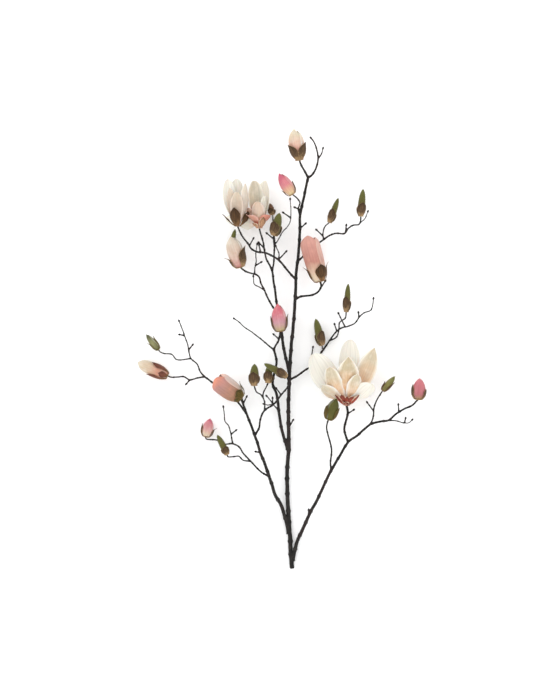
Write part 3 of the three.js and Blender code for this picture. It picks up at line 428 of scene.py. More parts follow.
def add_piece(name, mesh, material, node, slot):
    """Shows a finished mesh in place of a node of the solid model."""
    piece = bpy.data.objects.new(name, mesh)
    scene.collection.objects.link(piece)
    mesh.materials.clear()
    mesh.materials.append(material)
    mesh.shade_smooth()
    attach(piece, "root")
    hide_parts(node)
    return piece


add_piece("bark", bark_mesh, bark, "wood", "bark")


# Felted winter buds. Each is one smooth spindle in the wool of a flower that opens next year,
# green at the tip and browner below, with short hairs that lie towards the tip.
# A bud is its seat, its tip, its radius, how far it bows to its right, and its felt.
FELTED = {
    "head_05": ((-21, 340, 10), (-28, 368, 10), 8.5, 0, "brown_felt"),
    "head_06": ((-17, 285, 59), (-4, 341, 66), 14.5, 0, "olive_felt"),
    "head_07": ((-126, 257, 17), (-115, 303, 20), 7.5, 0, "green_felt"),
    "head_10": ((121, 319, 38), (147, 378, 45), 9.5, -4, "olive_felt"),
    "head_11": ((199.5, 334, 43), (202, 402, 48), 11.5, 3, "olive_felt"),
    "head_12": ((163, 95, 41), (171, 165, 48), 9.5, -3, "olive_felt"),
    "head_13": ((103, 12, 19), (84, 77, 30), 12.5, 3, "olive_felt"),
    "head_15": ((14, -67, 57), (-38, -29, 72), 11, -6, "olive_felt"),
    "head_16": ((-32, -82, 58), (-30, -38, 50), 12, 0, "olive_felt"),
    "head_17": ((-67, -89, 57), (-66, -35, 62), 14, 0, "olive_felt"),
    "head_22": ((-135, -262, 38), (-155, -211, 46), 10, -4, "olive_felt"),
}
# A felt's colours at the foot, the middle and the tip
FELTS = {
    "brown_felt": ("#5d4232", "#7a5a45", "#6d4f3a"),
    "olive_felt": ("#68572f", "#5f592d", "#5b5b2f"),
    "green_felt": ("#77703a", "#6c6934", "#5e5f30"),
}
GAP = 0.3
CUP_FLOOR = 1.3
NECK = 2 * GAP + CUP_FLOOR
# A shape is where a bud is widest, as a share of its length, how narrow its foot is, how blunt
# its tip is, and how rounded.
FELT_SHAPE = (0.34, 0.5, 2.6, 0.6)
FELT_RADIUS = 0.8
FELT_STEPS = (24, 22)
TIP_RADIUS = 0.09
TABLE_CLEARANCE = 0.5
HAIR = {"count": 620, "length": (1.6, 3.2), "radius": 0.16, "lean": 0.45, "lowest": 0.12,
        "reach": 0.96, "root": 0.97}
# A head's axis in its own frame, from its seat to its tip
AXIS = Vector((0, 1, 0))


def head_length(at, to):
    return (Vector(to) - Vector(at)).length


def head_frame(at, to):
    """Turns a head's own frame into the branch's: x to the right of its axis seen from above, y
    along the axis from its seat to its tip, and z up from it."""
    along = (Vector(to) - Vector(at)).normalized()
    front = (Vector((0, 0, 1)) - along * along.z).normalized()
    right = along.cross(front)
    turned = Matrix((right, along, front)).transposed().to_4x4()
    return Matrix.Scale(MM, 4) @ Matrix.Translation(at) @ turned


def egg(x, widest, neck, sharp, rounded=1.0):
    """A bud's radius at x of its length, as a share of its greatest radius."""
    if x < widest:
        return math.sqrt(1 - ((widest - x) / widest) ** 2 * (1 - neck * neck))
    past = min(1.0, (x - widest) / (1 - widest))
    return max(TIP_RADIUS, (1 - past ** sharp) ** rounded)


def bud_body(length, radius, shape, start, steps, rings):
    """A bud's body turned about its axis, closed at both ends."""
    form = bmesh.new()
    profile = [form.verts.new((0, start, 0))]
    for k in range(rings + 1):
        up = start + (length - start) * k / rings
        profile.append(form.verts.new((radius * egg(up / length, *shape), up, 0)))
    profile.append(form.verts.new((0, length + radius * TIP_RADIUS, 0)))
    edges = [form.edges.new(pair) for pair in zip(profile, profile[1:])]
    bmesh.ops.spin(form, geom=profile + edges, cent=(0, 0, 0), axis=(0, 1, 0), dvec=(0, 0, 0),
                   angle=2 * math.pi, steps=steps, use_merge=True)
    bmesh.ops.remove_doubles(form, verts=form.verts, dist=0.01)
    bmesh.ops.recalc_face_normals(form, faces=form.faces)
    return form


def bow(form, length, bend):
    for vert in form.verts:
        share = min(1.0, max(0.0, vert.co.y / length))
        vert.co.x += bend * share * share * (2 - share)


def add_taper(form, root, lean, tall, segments, foot, tip):
    """Adds a straight tapering hair, style or stamen that stands on its root."""
    turned = lean.to_track_quat("Z", "Y").to_matrix().to_4x4()
    bmesh.ops.create_cone(
        form, cap_ends=True, segments=segments, radius1=foot, radius2=tip, depth=tall,
        matrix=Matrix.Translation(root + lean * tall / 2) @ turned,
    )


def add_hairs(form, core, draw):
    """Short tapering hairs that stand out of a bud's body and lean towards its tip."""
    length, radius, shape = core
    reach = length * HAIR["reach"]
    for _ in range(HAIR["count"]):
        x = draw.uniform(HAIR["lowest"], 1.0)
        turn = draw.uniform(0, 2 * math.pi)
        out = Vector((math.cos(turn), 0, math.sin(turn)))
        root = out * radius * egg(x, *shape) * HAIR["root"] + AXIS * (x * reach)
        lean = (out * HAIR["lean"] + AXIS).normalized()
        add_taper(form, root, lean, draw.uniform(*HAIR["length"]), 3, HAIR["radius"], 0.0)


def mark_along(form, start, end):
    """Notes at each point how far along its head it is, for the wool's colours."""
    along = form.verts.layers.float.new("along")
    for vert in form.verts:
        vert[along] = (vert.co.y - start) / (end - start)


def mottled_tone(skin, place, along, patch, detail, spread, stops):
    """A colour that changes along a head, unevenly: in patches of a size in mm it comes from
    further up or down, by the spread at most. The shift is given too."""
    mottle = add_node(skin, "TexNoise", {
        "Vector": place, "Scale": 1 / (patch * MM), "Detail": detail,
    })
    shift = add_node(skin, "MapRange", {"Value": mottle, "To Min": -spread, "To Max": spread})
    where = add_node(skin, "Math", {0: along, 1: shift}, operation="ADD")
    return add_node(skin, "ValToRGB", {"Fac": where}, stops=stops), shift


def shaded(skin, tone, pattern, middle, shades):
    """A colour darker and lighter by a fine pattern, whose middle part spans the shades."""
    bright = add_node(skin, "MapRange", {
        "Value": pattern, "From Min": middle[0], "From Max": middle[1], "To Min": shades[0],
        "To Max": shades[1],
    })
    return add_node(skin, "VectorMath", {0: tone, 1: bright}, operation="MULTIPLY")


def felt_material(name, colours):
    """Bud wool: matt felted hair, with a soft pale sheen at its edges and mottled by its lie."""
    skin = new_material(name)
    place = add_node(skin, "TexCoord", output="Object")
    along = add_node(skin, "Attribute", output="Fac", attribute_name="along")
    tone, _ = mottled_tone(skin, place, along, patch=5, detail=4, spread=0.22,
                           stops=list(zip((0.1, 0.42, 0.8), colours)))
    wool = add_node(skin, "TexNoise", {"Vector": place, "Scale": 1 / (0.8 * MM), "Detail": 5})
    shade = shaded(skin, tone, wool, (0.3, 0.7), (0.6, 1.3))
    add_surface(skin, shade, wool, bump=(0.8, 0.5), finish={
        "Roughness": 0.95, "Specular IOR Level": 0.15, "Sheen Weight": 0.2, "Sheen Roughness": 0.5,
    })
    return skin


def show_on_head(form, head, part, ends, material, node, slot, thickness=0):
    """Moves a form from its head's frame to its place on the branch, clear of the table by half
    a blade's thickness, and shows it there. A thin blade gets its thickness, half on each side."""
    form.transform(head_frame(*ends))
    for vert in form.verts:
        vert.co.z = max(vert.co.z, TABLE_CLEARANCE * MM)
    mesh = bpy.data.meshes.new(f"{head}_{part}")
    form.to_mesh(mesh)
    form.free()
    piece = add_piece(f"{head}_{part}", mesh, material, f"{head}_{node}", slot)
    if thickness:
        wall = piece.modifiers.new("thickness", "SOLIDIFY")
        wall.thickness = thickness * MM
        wall.offset = 0


felt_finishes = {slot: felt_material(slot, colours) for slot, colours in FELTS.items()}
draw = random.Random(11)
for name, (at, to, radius, bend, slot) in FELTED.items():
    core = (head_length(at, to), radius * FELT_RADIUS, FELT_SHAPE)
    form = bud_body(*core, NECK, *FELT_STEPS)
    add_hairs(form, core, draw)
    mark_along(form, 0, core[0])
    bow(form, core[0], bend)
    show_on_head(form, name, "felt", (at, to), felt_finishes[slot], "bud", slot)


# Scales of the felted buds. Two blunt brown scales, leathery and thinly felted, stand round the
# foot of each bud on a small cup at the twig's end, and their tips stand a little off the bud.
# For each bud: where the outer scale is, in degrees round it, and its share of the bud's length.
FELT_SCALES = {
    "head_05": (110, 0.62), "head_06": (118, 0.62), "head_07": (110, 0.4), "head_10": (110, 0.56),
    "head_11": (80, 0.52), "head_12": (110, 0.56), "head_13": (60, 0.56), "head_15": (70, 0.52),
    "head_16": (105, 0.62), "head_17": (100, 0.66), "head_22": (70, 0.42),
}
# The second scale is opposite, and shorter.
SCALE = {"thick": 0.9, "span": 66, "lift": 0.14, "tuck": 0.25, "sides": ((0, 1), (178, 0.8)),
         "foot": 0.5, "point": 1.0, "flare": 0.12, "grid": (12, 14)}
HALF_BLADE = 0.5
BLADE_SEAT = GAP + CUP_FLOOR / 2
CUP_TAPER = 0.8
# A blade's least width, as a share, and its least distance from the bud's axis
NARROWEST = 0.05
LEAST_OUT = 0.7
ROW_POWER = 1.5
# Where along a blade it's fully lifted off the bud, is widest, starts to flare and closes in
LIFTED_AT = 0.3
WIDEST_AT = 0.6
FLARES_FROM = 0.7
CLOSES_FROM = 0.75
FOOT_LIFT = 0.66
# Colours at the foot, the middle, the tip and the rim, and where the rim starts
SCALE_LOOKS = {
    "brown": (("#a0835c", "#54402b", "#3e2d1b", "#a98860"), 0.86),
    "dark": (("#84603c", "#4f371e", "#372412", "#876544"), 0.86),
    "olive": (("#685424", "#564618", "#403612", "#7c6a36"), 0.86),
    "rust": (("#675030", "#6c4030", "#583026", "#a88468"), 0.86),
    "curled": (("#a85a40", "#a04434", "#6c3426", "#ecccb0"), 0.7),
    "tan": (("#9c5844", "#b48a6a", "#7c5a42", "#ecd0b8"), 0.7),
}


def outline(t, foot, point):
    """Half the width of a blade at t along it, as a share of its greatest half width."""
    rise = math.sin(math.pi / 2 * min(1.0, t / WIDEST_AT))
    past = max(0.0, (t - WIDEST_AT) / (1 - WIDEST_AT))
    return max(NARROWEST, (foot + (1 - foot) * rise) * (1 - past * past) ** point)


def add_sheet(form, grid, place, pale=0.0):
    """Adds a grid and puts each of its points by place(t, s): t runs from foot to tip, 0 to 1, and
    s across, -1 to 1. Rows lie closer towards the tip, and the map holds s and t."""
    lay = form.loops.layers.uv.verify()
    tint = form.verts.layers.float.get("pale") or form.verts.layers.float.new("pale")
    made = bmesh.ops.create_grid(form, x_segments=grid[0], y_segments=grid[1], size=1)
    where = {}
    for vert in made["verts"]:
        t = 1 - (1 - (vert.co.y + 1) / 2) ** ROW_POWER
        where[vert] = ((vert.co.x + 1) / 2, t)
        vert.co = place(t, vert.co.x)
        vert[tint] = pale
    for vert, spot in where.items():
        for loop in vert.link_loops:
            loop[lay].uv = spot


def neck_radius(length, radius, shape):
    return radius * egg(NECK / length, *shape)


def add_cup(form, rim):
    """The small cup at the twig's end that scales and bracts grow from."""
    upright = Matrix.Rotation(-math.pi / 2, 4, "X")
    bmesh.ops.create_cone(
        form, cap_ends=True, segments=20, radius1=rim * CUP_TAPER, radius2=rim, depth=CUP_FLOOR,
        matrix=Matrix.Translation(AXIS * BLADE_SEAT) @ upright,
    )


def hugging_place(core, blade, turn, span, start, end, lift, flare=0.0, spiral=0.0, closing=0.0):
    """The place of a point of a blade that lies round a bud. core is the bud's length, its radius
    and its shape, and blade is how wide its foot is, how pointed its tip and how far one edge is
    tucked under the next blade."""
    length, radius, shape = core
    foot, point, tuck = blade

    def place(t, s):
        up = start + (end - start) * t
        ramp = FOOT_LIFT + (1 - FOOT_LIFT) * min(1.0, t / LIFTED_AT)
        ramp *= 1 - closing * max(0.0, (t - CLOSES_FROM) / (1 - CLOSES_FROM)) ** 2
        flared = flare * radius * max(0.0, (t - FLARES_FROM) / (1 - FLARES_FROM)) ** 2
        off = (lift + tuck * s) * ramp + flared
        out = max(LEAST_OUT, radius * egg(min(1.0, up / length), *shape) + off)
        angle = math.radians(turn + spiral * t + s * span * outline(t, foot, point))
        return Vector((out * math.cos(angle), up, out * math.sin(angle)))

    return place


def blade_places(skin):
    """Where a point is on the branch and on its blade's map, how far it is along the blade, and
    how far from its middle line, from 0 to 1."""
    place = add_node(skin, "TexCoord", output="Object")
    chart = add_node(skin, "TexCoord", output="UV")
    along = add_node(skin, "SeparateXYZ", {"Vector": chart}, output="Y")
    across = add_node(skin, "SeparateXYZ", {"Vector": chart}, output="X")
    side = add_node(skin, "MapRange", {"Value": across, "To Min": -1.0, "To Max": 1.0})
    return place, chart, along, add_node(skin, "Math", {0: side}, operation="ABSOLUTE")


def lengthwise(skin, chart, scale):
    """Irregular lines from a blade's foot to its tip."""
    stretched = add_node(skin, "Mapping", {"Vector": chart, "Scale": scale})
    return add_node(skin, "TexNoise", {"Vector": stretched, "Scale": 1.0, "Detail": 3})


def show_scales(head, part, ends, grid, places, rim, look, slot, bend=0):
    """Shows scales or bracts, each given by its place, on their cup, bowed as their bud is."""
    form = bmesh.new()
    for place in places:
        add_sheet(form, grid, place)
    add_cup(form, rim)
    bow(form, head_length(*ends), bend)
    show_on_head(form, head, part, ends, scale_finishes[look], "scales", slot, SCALE["thick"])


def scale_material(name, colours, rim_from):
    """A bud scale: thin brown leathery skin with fine lengthwise ribs 0.9 mm apart and a nap of
    short hairs, paler at its foot and darker towards its tip, with a ragged pale rim."""
    skin = new_material(name)
    place, chart, along, off_middle = blade_places(skin)
    tone, shift = mottled_tone(skin, place, along, patch=6, detail=4, spread=0.3,
                               stops=list(zip((0.0, 0.35, 0.9), colours)))
    ribs = lengthwise(skin, chart, (20, 2.2, 1))
    ragged = add_node(skin, "Math", {0: off_middle, 1: shift}, operation="ADD")
    rim_share = add_node(skin, "MapRange", {
        "Value": ragged, "From Min": rim_from, "From Max": rim_from + 0.2, "To Max": 0.8,
    })
    rimmed = add_node(skin, "MixRGB", {
        "Fac": rim_share, "Color1": tone, "Color2": linear(colours[3]),
    })
    shade = shaded(skin, rimmed, ribs, (0.32, 0.68), (0.4, 1.6))
    add_surface(skin, shade, ribs, bump=(0.6, 0.5), finish={
        "Roughness": 0.8, "Specular IOR Level": 0.25, "Sheen Weight": 0.05,
    })
    return skin


scale_finishes = {}
for look, (colours, rim_from) in SCALE_LOOKS.items():
    scale_finishes[look + "_scale"] = scale_material(look + "_bud_scale", colours, rim_from)

for name, (turn, reach) in FELT_SCALES.items():
    at, to, radius, bend, _ = FELTED[name]
    core = (head_length(at, to), radius * FELT_RADIUS, FELT_SHAPE)
    lift = HALF_BLADE + 3 * GAP + SCALE["lift"] * radius
    places = [hugging_place(
        core, (SCALE["foot"], SCALE["point"], SCALE["tuck"]), turn + side, SCALE["span"],
        BLADE_SEAT, core[0] * reach * share, lift, SCALE["flare"],
    ) for side, share in SCALE["sides"]]
    show_scales(name, "bud_scales", (at, to), SCALE["grid"], places,
                neck_radius(*core) + lift * FOOT_LIFT, "brown_scale", "brown_scale", bend)


# Tepals of the closed buds. Three outer tepals wrap the bud, each with one edge under the next,
# in the colour that they open in, with a greenish cream foot. They are soft, waxy and matt.
# A bud is its seat, its tip, its radius, its first tepal's turn, its colours at the foot, the
# middle and the tip, its slot and its shape.
CLOSED = {
    "head_01": ((46, 472, 72), (33, 550, 84), 19.5, 100, ("#b4726c", "#cfa08c", "#d0c2aa"),
                "peach_tepal", "ovate"),
    "head_02": ((29, 387, 73), (-5, 440, 80), 15, 95, ("#cfc08c", "#cc8084", "#b8506a"),
                "rose_tepal", "pointed"),
    "head_08": ((-101, 206, 47), (-126, 284, 54), 21, 85, ("#b98078", "#c4a896", "#ccc0b0"),
                "cream_tepal", "ovate"),
    "head_09": ((98, 170, 59), (67, 286, 66), 25, 110, ("#d8c5aa", "#b27a6d", "#c59186"),
                "salmon_tepal", "broad"),
    "head_14": ((-2, 46, 58), (-8, 117, 66), 19, 80, ("#a8a268", "#b98a92", "#c45f6c"),
                "rose_tepal", "pointed"),
    "head_18": ((-99, -120, 45), (-165, -70, 62), 26, 110, ("#94704c", "#ad8079", "#de8c70"),
                "dusty_tepal", "broad"),
    "head_19": ((-307, 1, 23), (-338, 40, 28), 8, 100, ("#5f5c34", "#85825a", "#4c5038"),
                "green_felt", "pointed"),
    "head_20": ((-284, -65, 16), (-360, -31, 18), 16.5, 75, ("#c48c76", "#c6b096", "#d0c4b0"),
                "cream_tepal", "blunt"),
    "head_21": ((-189, -218, 20), (-177, -171, 24), 14.5, 70, ("#d2c4a6", "#c4908e", "#b95a70"),
                "dusty_tepal", "pointed"),
    "head_24": ((117.5, -173, 76), (138, -119, 84), 15.5, 40, ("#57511a", "#4e4c14", "#434514"),
                "green_felt", "pointed"),
    "head_25": ((254, -102, 40), (286, -65, 44), 8, 60, ("#665c30", "#7b753e", "#5e6236"),
                "green_felt", "pointed"),
    "head_26": ((343, -124, 44), (347, -69, 50), 17, 70, ("#8a7c46", "#b0686e", "#bf6c74"),
                "rose_tepal", "pointed"),
}
# For each kind of bud: its shape, how pointed its tepals' tips are, and how far round the bud
# each tepal leans, in degrees.
BUD_KINDS = {
    "pointed": ((0.42, 0.45, 1.9), 0.62, 22),
    "ovate": ((0.46, 0.38, 2.8), 0.34, 12),
    "blunt": ((0.48, 0.38, 4.2), 0.2, 8),
    "broad": ((0.55, 0.42, 7.0), 0.2, 4),
}
CLOSED_RADIUS = 0.82
# The bud inside, as shares of the whole
INNER = {"length": 0.95, "radius": 0.97, "steps": (20, 14)}
# Each next tepal is a step shorter and lies a little lower. The rim is where across a tepal it
# starts to pale, and how much of the pale colour its edge takes.
WRAPPED = {"span": 74, "turns": (0, 118, 236), "foot": 0.7, "tuck": 0.9, "lift": 0.16,
           "lower": 0.02, "reach": 0.99, "step": 0.035, "closing": 0.75, "grid": (16, 22),
           "thick": 0.9, "rim": (0.78, 0.45)}
PALE_EDGE = "#e6e3da"
EDGES = {"head_02": "#d89a98", "head_09": "#e0a892", "head_14": "#e2b4b0", "head_18": "#dd9078",
         "head_19": "#98956a", "head_21": "#e4b6b2", "head_24": "#6d6b26", "head_25": "#a5a062",
         "head_26": "#d49a9c"}
# Where along a tepal its three colours are, and how much paler each next one is
USUAL_TONES = (0.02, 0.45, 0.92)
TONES = {"head_01": (0.2, 0.5, 0.85), "head_09": (0.12, 0.42, 0.9), "head_14": (0.0, 0.3, 0.85),
         "head_18": (0.12, 0.78, 1.0), "head_20": (0.35, 0.66, 0.95), "head_26": (0.0, 0.26, 0.9)}
USUAL_PALER = 0.12
PALER = {"head_02": 0.05, "head_09": 0.08, "head_14": 0.08, "head_18": 0.2, "head_26": 0.05}


def closed_core(name):
    """The length, radius and shape of a closed bud inside its tepals."""
    at, to, radius, _, _, _, kind = CLOSED[name]
    return head_length(at, to), radius * CLOSED_RADIUS, BUD_KINDS[kind][0]


def tepal_material(name, colours, edge_colour, tones, rim):
    """A tepal: soft waxy petal skin, faintly see-through, with veins that run from foot to tip
    about 3 mm apart, a colour that changes along it, and paler edges. On the open blooms the
    grey-beige inside the edges is painted shade, and a back tepal's paler share is partly a
    painted highlight."""
    skin = new_material(name)
    place, chart, along, off_middle = blade_places(skin)
    tone, _ = mottled_tone(skin, place, along, patch=28, detail=3, spread=0.13,
                           stops=list(zip(tones, colours)))
    blotch = add_node(skin, "TexNoise", {"Vector": place, "Scale": 1 / (13 * MM), "Detail": 4})
    blotch_share = add_node(skin, "MapRange", {
        "Value": blotch, "From Min": 0.45, "From Max": 0.75, "To Max": 0.3,
    })
    edge_share = add_node(skin, "MapRange", {
        "Value": off_middle, "From Min": rim[0], "From Max": 1.0, "To Max": rim[1],
    }, interpolation_type="SMOOTHSTEP")
    # How much paler a whole tepal is; on the back tepals of the open blooms this is partly a
    # painted highlight.
    pale = add_node(skin, "Attribute", output="Fac", attribute_name="pale")
    paler_and_highlight_share = add_node(skin, "Math", {0: pale, 1: 0.0}, operation="MAXIMUM")
    flush = add_node(skin, "Math", {0: pale, 1: -1.0}, operation="MULTIPLY")
    flush_share = add_node(skin, "Math", {0: flush, 1: 0.0}, operation="MAXIMUM")
    for share, colour in ((blotch_share, edge_colour), (edge_share, edge_colour),
                          (flush_share, colours[0]), (paler_and_highlight_share, PALE_EDGE)):
        tone = add_node(skin, "MixRGB", {
            "Fac": share, "Color1": tone, "Color2": linear(colour),
        })
    veins = lengthwise(skin, chart, (15, 1.3, 1))
    shade = shaded(skin, tone, veins, (0.32, 0.68), (0.86, 1.05))
    add_surface(skin, shade, veins, bump=(0.35, 0.6), finish={
        "Roughness": 0.58, "Specular IOR Level": 0.3, "Subsurface Weight": 0.25,
        "Subsurface Radius": (3.0, 2.0, 1.4), "Subsurface Scale": MM,
    })
    return skin


for name, (at, to, radius, turn, colours, slot, kind) in CLOSED.items():
    core = closed_core(name)
    length, inner_radius, shape = core
    form = bud_body(length * INNER["length"], inner_radius * INNER["radius"], shape, NECK,
                    *INNER["steps"])
    lay = form.loops.layers.uv.verify()
    for vert in form.verts:
        for loop in vert.link_loops:
            loop[lay].uv = (0.5, vert.co.y / length)
    _, point, spiral = BUD_KINDS[kind]
    for k, step in enumerate(WRAPPED["turns"]):
        add_sheet(form, WRAPPED["grid"], hugging_place(
            core, (WRAPPED["foot"], point, WRAPPED["tuck"]), turn + step, WRAPPED["span"], NECK,
            length * (WRAPPED["reach"] - WRAPPED["step"] * k),
            radius * (WRAPPED["lift"] - WRAPPED["lower"] * k), spiral=spiral,
            closing=WRAPPED["closing"],
        ), PALER.get(name, USUAL_PALER) * k)
    finish = tepal_material(name + "_petal_skin", colours, EDGES.get(name, PALE_EDGE),
                            TONES.get(name, USUAL_TONES), WRAPPED["rim"])
    show_on_head(form, name, "tepals", (at, to), finish, "bud", slot, WRAPPED["thick"])


# Bracts of the closed buds: narrow leathery scales that grow from the cup and stand along the
# sides of the bud. Each is its turn round the bud, half its width in degrees, its reach as a
# share of the bud's length, how far its tip curls out, as a share of the bud's radius, and how
# far round the bud it leans.
CLOSED_BRACTS = {
    "head_01": ([(128, 38, 0.55, 0.43, 34), (52, 38, 0.55, 0.38, -34)], "brown_scale"),
    "head_02": ([(346, 34, 0.46, 0.1, 0), (186, 24, 0.36, 0.1, 0)], "brown_scale"),
    "head_08": ([(38, 44, 0.6, 0.45, -24), (166, 26, 0.42, 0.5, 10)], "brown_scale"),
    "head_09": ([(64, 42, 0.36, 0.05, 0), (172, 22, 0.38, 0.35, 0), (5, 24, 0.36, 0.3, 0)],
                "dark_scale"),
    "head_14": ([(164, 20, 0.58, 0.1, 0), (16, 20, 0.6, 0.3, 0)], "dark_scale"),
    "head_18": ([(76, 30, 0.31, 0.1, 0), (118, 22, 0.2, 0.3, 0), (10, 20, 0.36, 0.2, 0)],
                "dark_scale"),
    "head_19": ([(15, 30, 0.72, 0.5, 0), (168, 24, 0.6, 0.5, 0)], "olive_scale"),
    "head_20": ([(36, 26, 0.6, 0.3, 20), (150, 22, 0.62, 0.2, -8), (98, 30, 0.3, 0.1, 0)],
                "rust_scale"),
    "head_21": ([(168, 30, 0.66, 0.2, 0), (12, 22, 0.58, 0.6, 0)], "dark_scale"),
    "head_24": ([(150, 34, 0.6, 0.1, 0), (20, 34, 0.66, 0.1, 0)], "olive_scale"),
    "head_25": ([(20, 34, 0.74, 0.3, 0), (160, 26, 0.46, 0.4, 0)], "dark_scale"),
    "head_26": ([(160, 28, 0.7, 0.1, 0), (28, 22, 0.54, 0.06, 0)], "brown_scale"),
}
# Bracts whose look isn't that of their slot
BRACT_LOOKS = {"head_18": "olive_scale"}
CLOSED_BRACT = {"lift": 0.19, "foot": 0.5, "point": 1.3}
BRACT_GRID = (8, 14)

for name, (bracts, slot) in CLOSED_BRACTS.items():
    core = closed_core(name)
    at, to, radius = CLOSED[name][:3]
    lift = CLOSED_BRACT["lift"] * radius + WRAPPED["tuck"] + 2 * GAP + HALF_BLADE
    places = [hugging_place(
        core, (CLOSED_BRACT["foot"], CLOSED_BRACT["point"], 0.0), turn - spiral / 2, span,
        BLADE_SEAT, core[0] * reach, lift, flare, spiral,
    ) for turn, span, reach, flare, spiral in bracts]
    show_scales(name, "bracts", (at, to), BRACT_GRID, places,
                neck_radius(*core) + lift * FOOT_LIFT, BRACT_LOOKS.get(name, slot), slot)


# Tepals of the opening bud and the two open blooms. Broad and spoon-shaped, they stand round the
# cup in layers, arched across, with slightly waved edges. They are soft, waxy and matt.
# A tepal is its turn, length, width, opening angles from foot to tip, arch in radians, twist in
# degrees, how much paler it is than the head's own colours and how pointed its tip is. A negative
# share takes on the colour of the head's foot instead. On the back tepals the paler share is
# partly their white inner face and partly a painted highlight.
def tepal(turn, length, width, opening, arch=0.8, twist=0, pale=0.0, point=0.6):
    return {"turn": turn, "length": length, "width": width, "opening": opening, "arch": arch,
            "twist": twist, "pale": pale, "point": point}


# The grey-beige of the open blooms' middle and tip colours is painted shade inside the cupped
# tepals; their pale rims show the tepals' own white.
OPEN = {
    "head_03": {
        "seat": ((-108, 308, 64), (-108, 428, 74)), "core": 11, "slot": "white_tepal",
        "colours": ("#cd8a72", "#a89282", "#c6b8a5"), "rim": "#ecdcce", "tones": (0.05, 0.4, 0.9),
        "tepals": [tepal(98, 88, 38, (40, -2, -6), 1, point=0.75),
                   tepal(20, 106, 34, (30, 0, -2), 0.8, 30, 0.3, 1.0),
                   tepal(160, 96, 32, (30, 0, 0), 0.8, -35, 0.05, 0.8),
                   tepal(262, 118, 40, (28, 4, 0), pale=1.0, point=0.45),
                   tepal(215, 118, 36, (28, 6, 4), 0.7, 50, 1.0, 0.45),
                   tepal(230, 46, 28, (60, 70, 92), 0.6, -75, 0.9)],
    },
    "head_04": {
        "seat": ((-54, 304, 50), (-56, 424, 60)), "core": 9, "slot": "cream_tepal",
        "colours": ("#c05034", "#cdc4b0", "#c8c1af"), "rim": "#f6efe4", "tones": (0.2, 0.52, 0.85),
        "tepals": [tepal(240, 118, 50, (24, 6, 0), point=0.4),
                   tepal(308, 119, 46, (26, 8, 2), pale=0.7, point=0.45),
                   tepal(196, 52, 34, (62, 84, 104), 0.6, -75, 0.6),
                   tepal(98, 68, 38, (36, 14, 6), 0.9, 0, -0.2, 0.5),
                   tepal(134, 50, 30, (40, 44, 70), 0.7, 0, -0.55, 0.4),
                   tepal(46, 46, 28, (40, 40, 64), 0.7, 15, -0.7, 0.9),
                   tepal(176, 56, 30, (40, 26, 20), 0.7, -50, -0.3),
                   tepal(5, 80, 30, (24, 4, 0), 0.8, 40, 0.45)],
    },
    "head_23": {
        "seat": ((164, -138, 48), (166, -10, 74)), "core": 9, "slot": "peach_tepal",
        "colours": ("#cf7a5e", "#e3b388", "#beb194"), "rim": "#fbf6ee", "tones": (0.02, 0.34, 0.8),
        "tepals": [tepal(88, 128, 62, (30, 2, -2), 0.7, point=0.85),
                   tepal(54, 92, 42, (42, 22, 8), 0.8, 15, 0.1),
                   tepal(150, 112, 50, (46, 24, 10), 0.7, -40, 0.1, 0.5),
                   tepal(162, 80, 46, (66, 52, 36), 0.8, -45, 0.2),
                   tepal(22, 86, 56, (60, 48, 34), 0.7, 50, 0.88, 0.45),
                   tepal(350, 158, 56, (36, 24, 14), 0.7, -60, 0.2, 0.85),
                   tepal(284, 162, 58, (24, 6, 0), 0.7, 0, 1.0, 0.45),
                   tepal(196, 150, 72, (48, 32, 26), 0.6, 55, 1.0, 0.45)],
    },
}
OPEN_SHAPE = (0.3, 0.6, 1.6)
# The wide rim share keeps the open tepals' own pale colour at their edges, round the painted shade
# inside.
TEPAL = {"thick": 0.8, "foot": 0.22, "wave": 1.9, "usual_width": 40, "grid": (14, 26),
         "foot_out": 0.35, "foot_up": 1.0, "rim": (0.55, 0.8)}
MIDDLE_STEPS = 24
TWISTED_AT = 0.5
# Waves of an edge from foot to tip, long and short ones, and how high the short ones are
WAVES = {"long": 9, "short": 23, "short_height": 0.4}


def middle_line(length, opening, foot, t):
    """How far out and up a blade's middle line is at t, and its angle from the head's axis."""
    first, middle, last = (math.radians(a) for a in opening)
    out, up = foot
    angle = first
    for k in range(MIDDLE_STEPS):
        u = t * (k + 0.5) / MIDDLE_STEPS
        angle = (1 - u) ** 2 * first + 2 * u * (1 - u) * middle + u * u * last
        out += math.sin(angle) * length * t / MIDDLE_STEPS
        up += math.cos(angle) * length * t / MIDDLE_STEPS
    return out, up, angle


def free_place(blade, foot, foot_width, wave, phase):
    """The place of a point of a free blade, arched across, with waved edges."""
    turn = math.radians(blade["turn"])
    radial = Vector((math.cos(turn), 0, math.sin(turn)))
    twist = math.radians(blade["twist"])

    def place(t, s):
        out, up, angle = middle_line(blade["length"], blade["opening"], foot, t)
        half = blade["width"] / 2 * outline(t, foot_width, blade["point"])
        bend = blade["arch"] * s
        along = radial * math.sin(angle) + AXIS * math.cos(angle)
        turned = Matrix.Rotation(-twist * min(1.0, t / TWISTED_AT), 3, along)
        outward = turned @ (radial * math.cos(angle) - AXIS * math.sin(angle))
        across = turned @ Vector((-math.sin(turn), 0, math.cos(turn)))
        waves = math.sin(WAVES["long"] * t + phase + 2 * s)
        waves += WAVES["short_height"] * math.sin(WAVES["short"] * t + 3 * phase)
        spot = radial * out + AXIS * up
        spot += across * half * math.sin(bend) / blade["arch"]
        spot -= outward * half * (1 - math.cos(bend)) / blade["arch"]
        return spot + outward * (wave * waves * s * s * t)

    return place


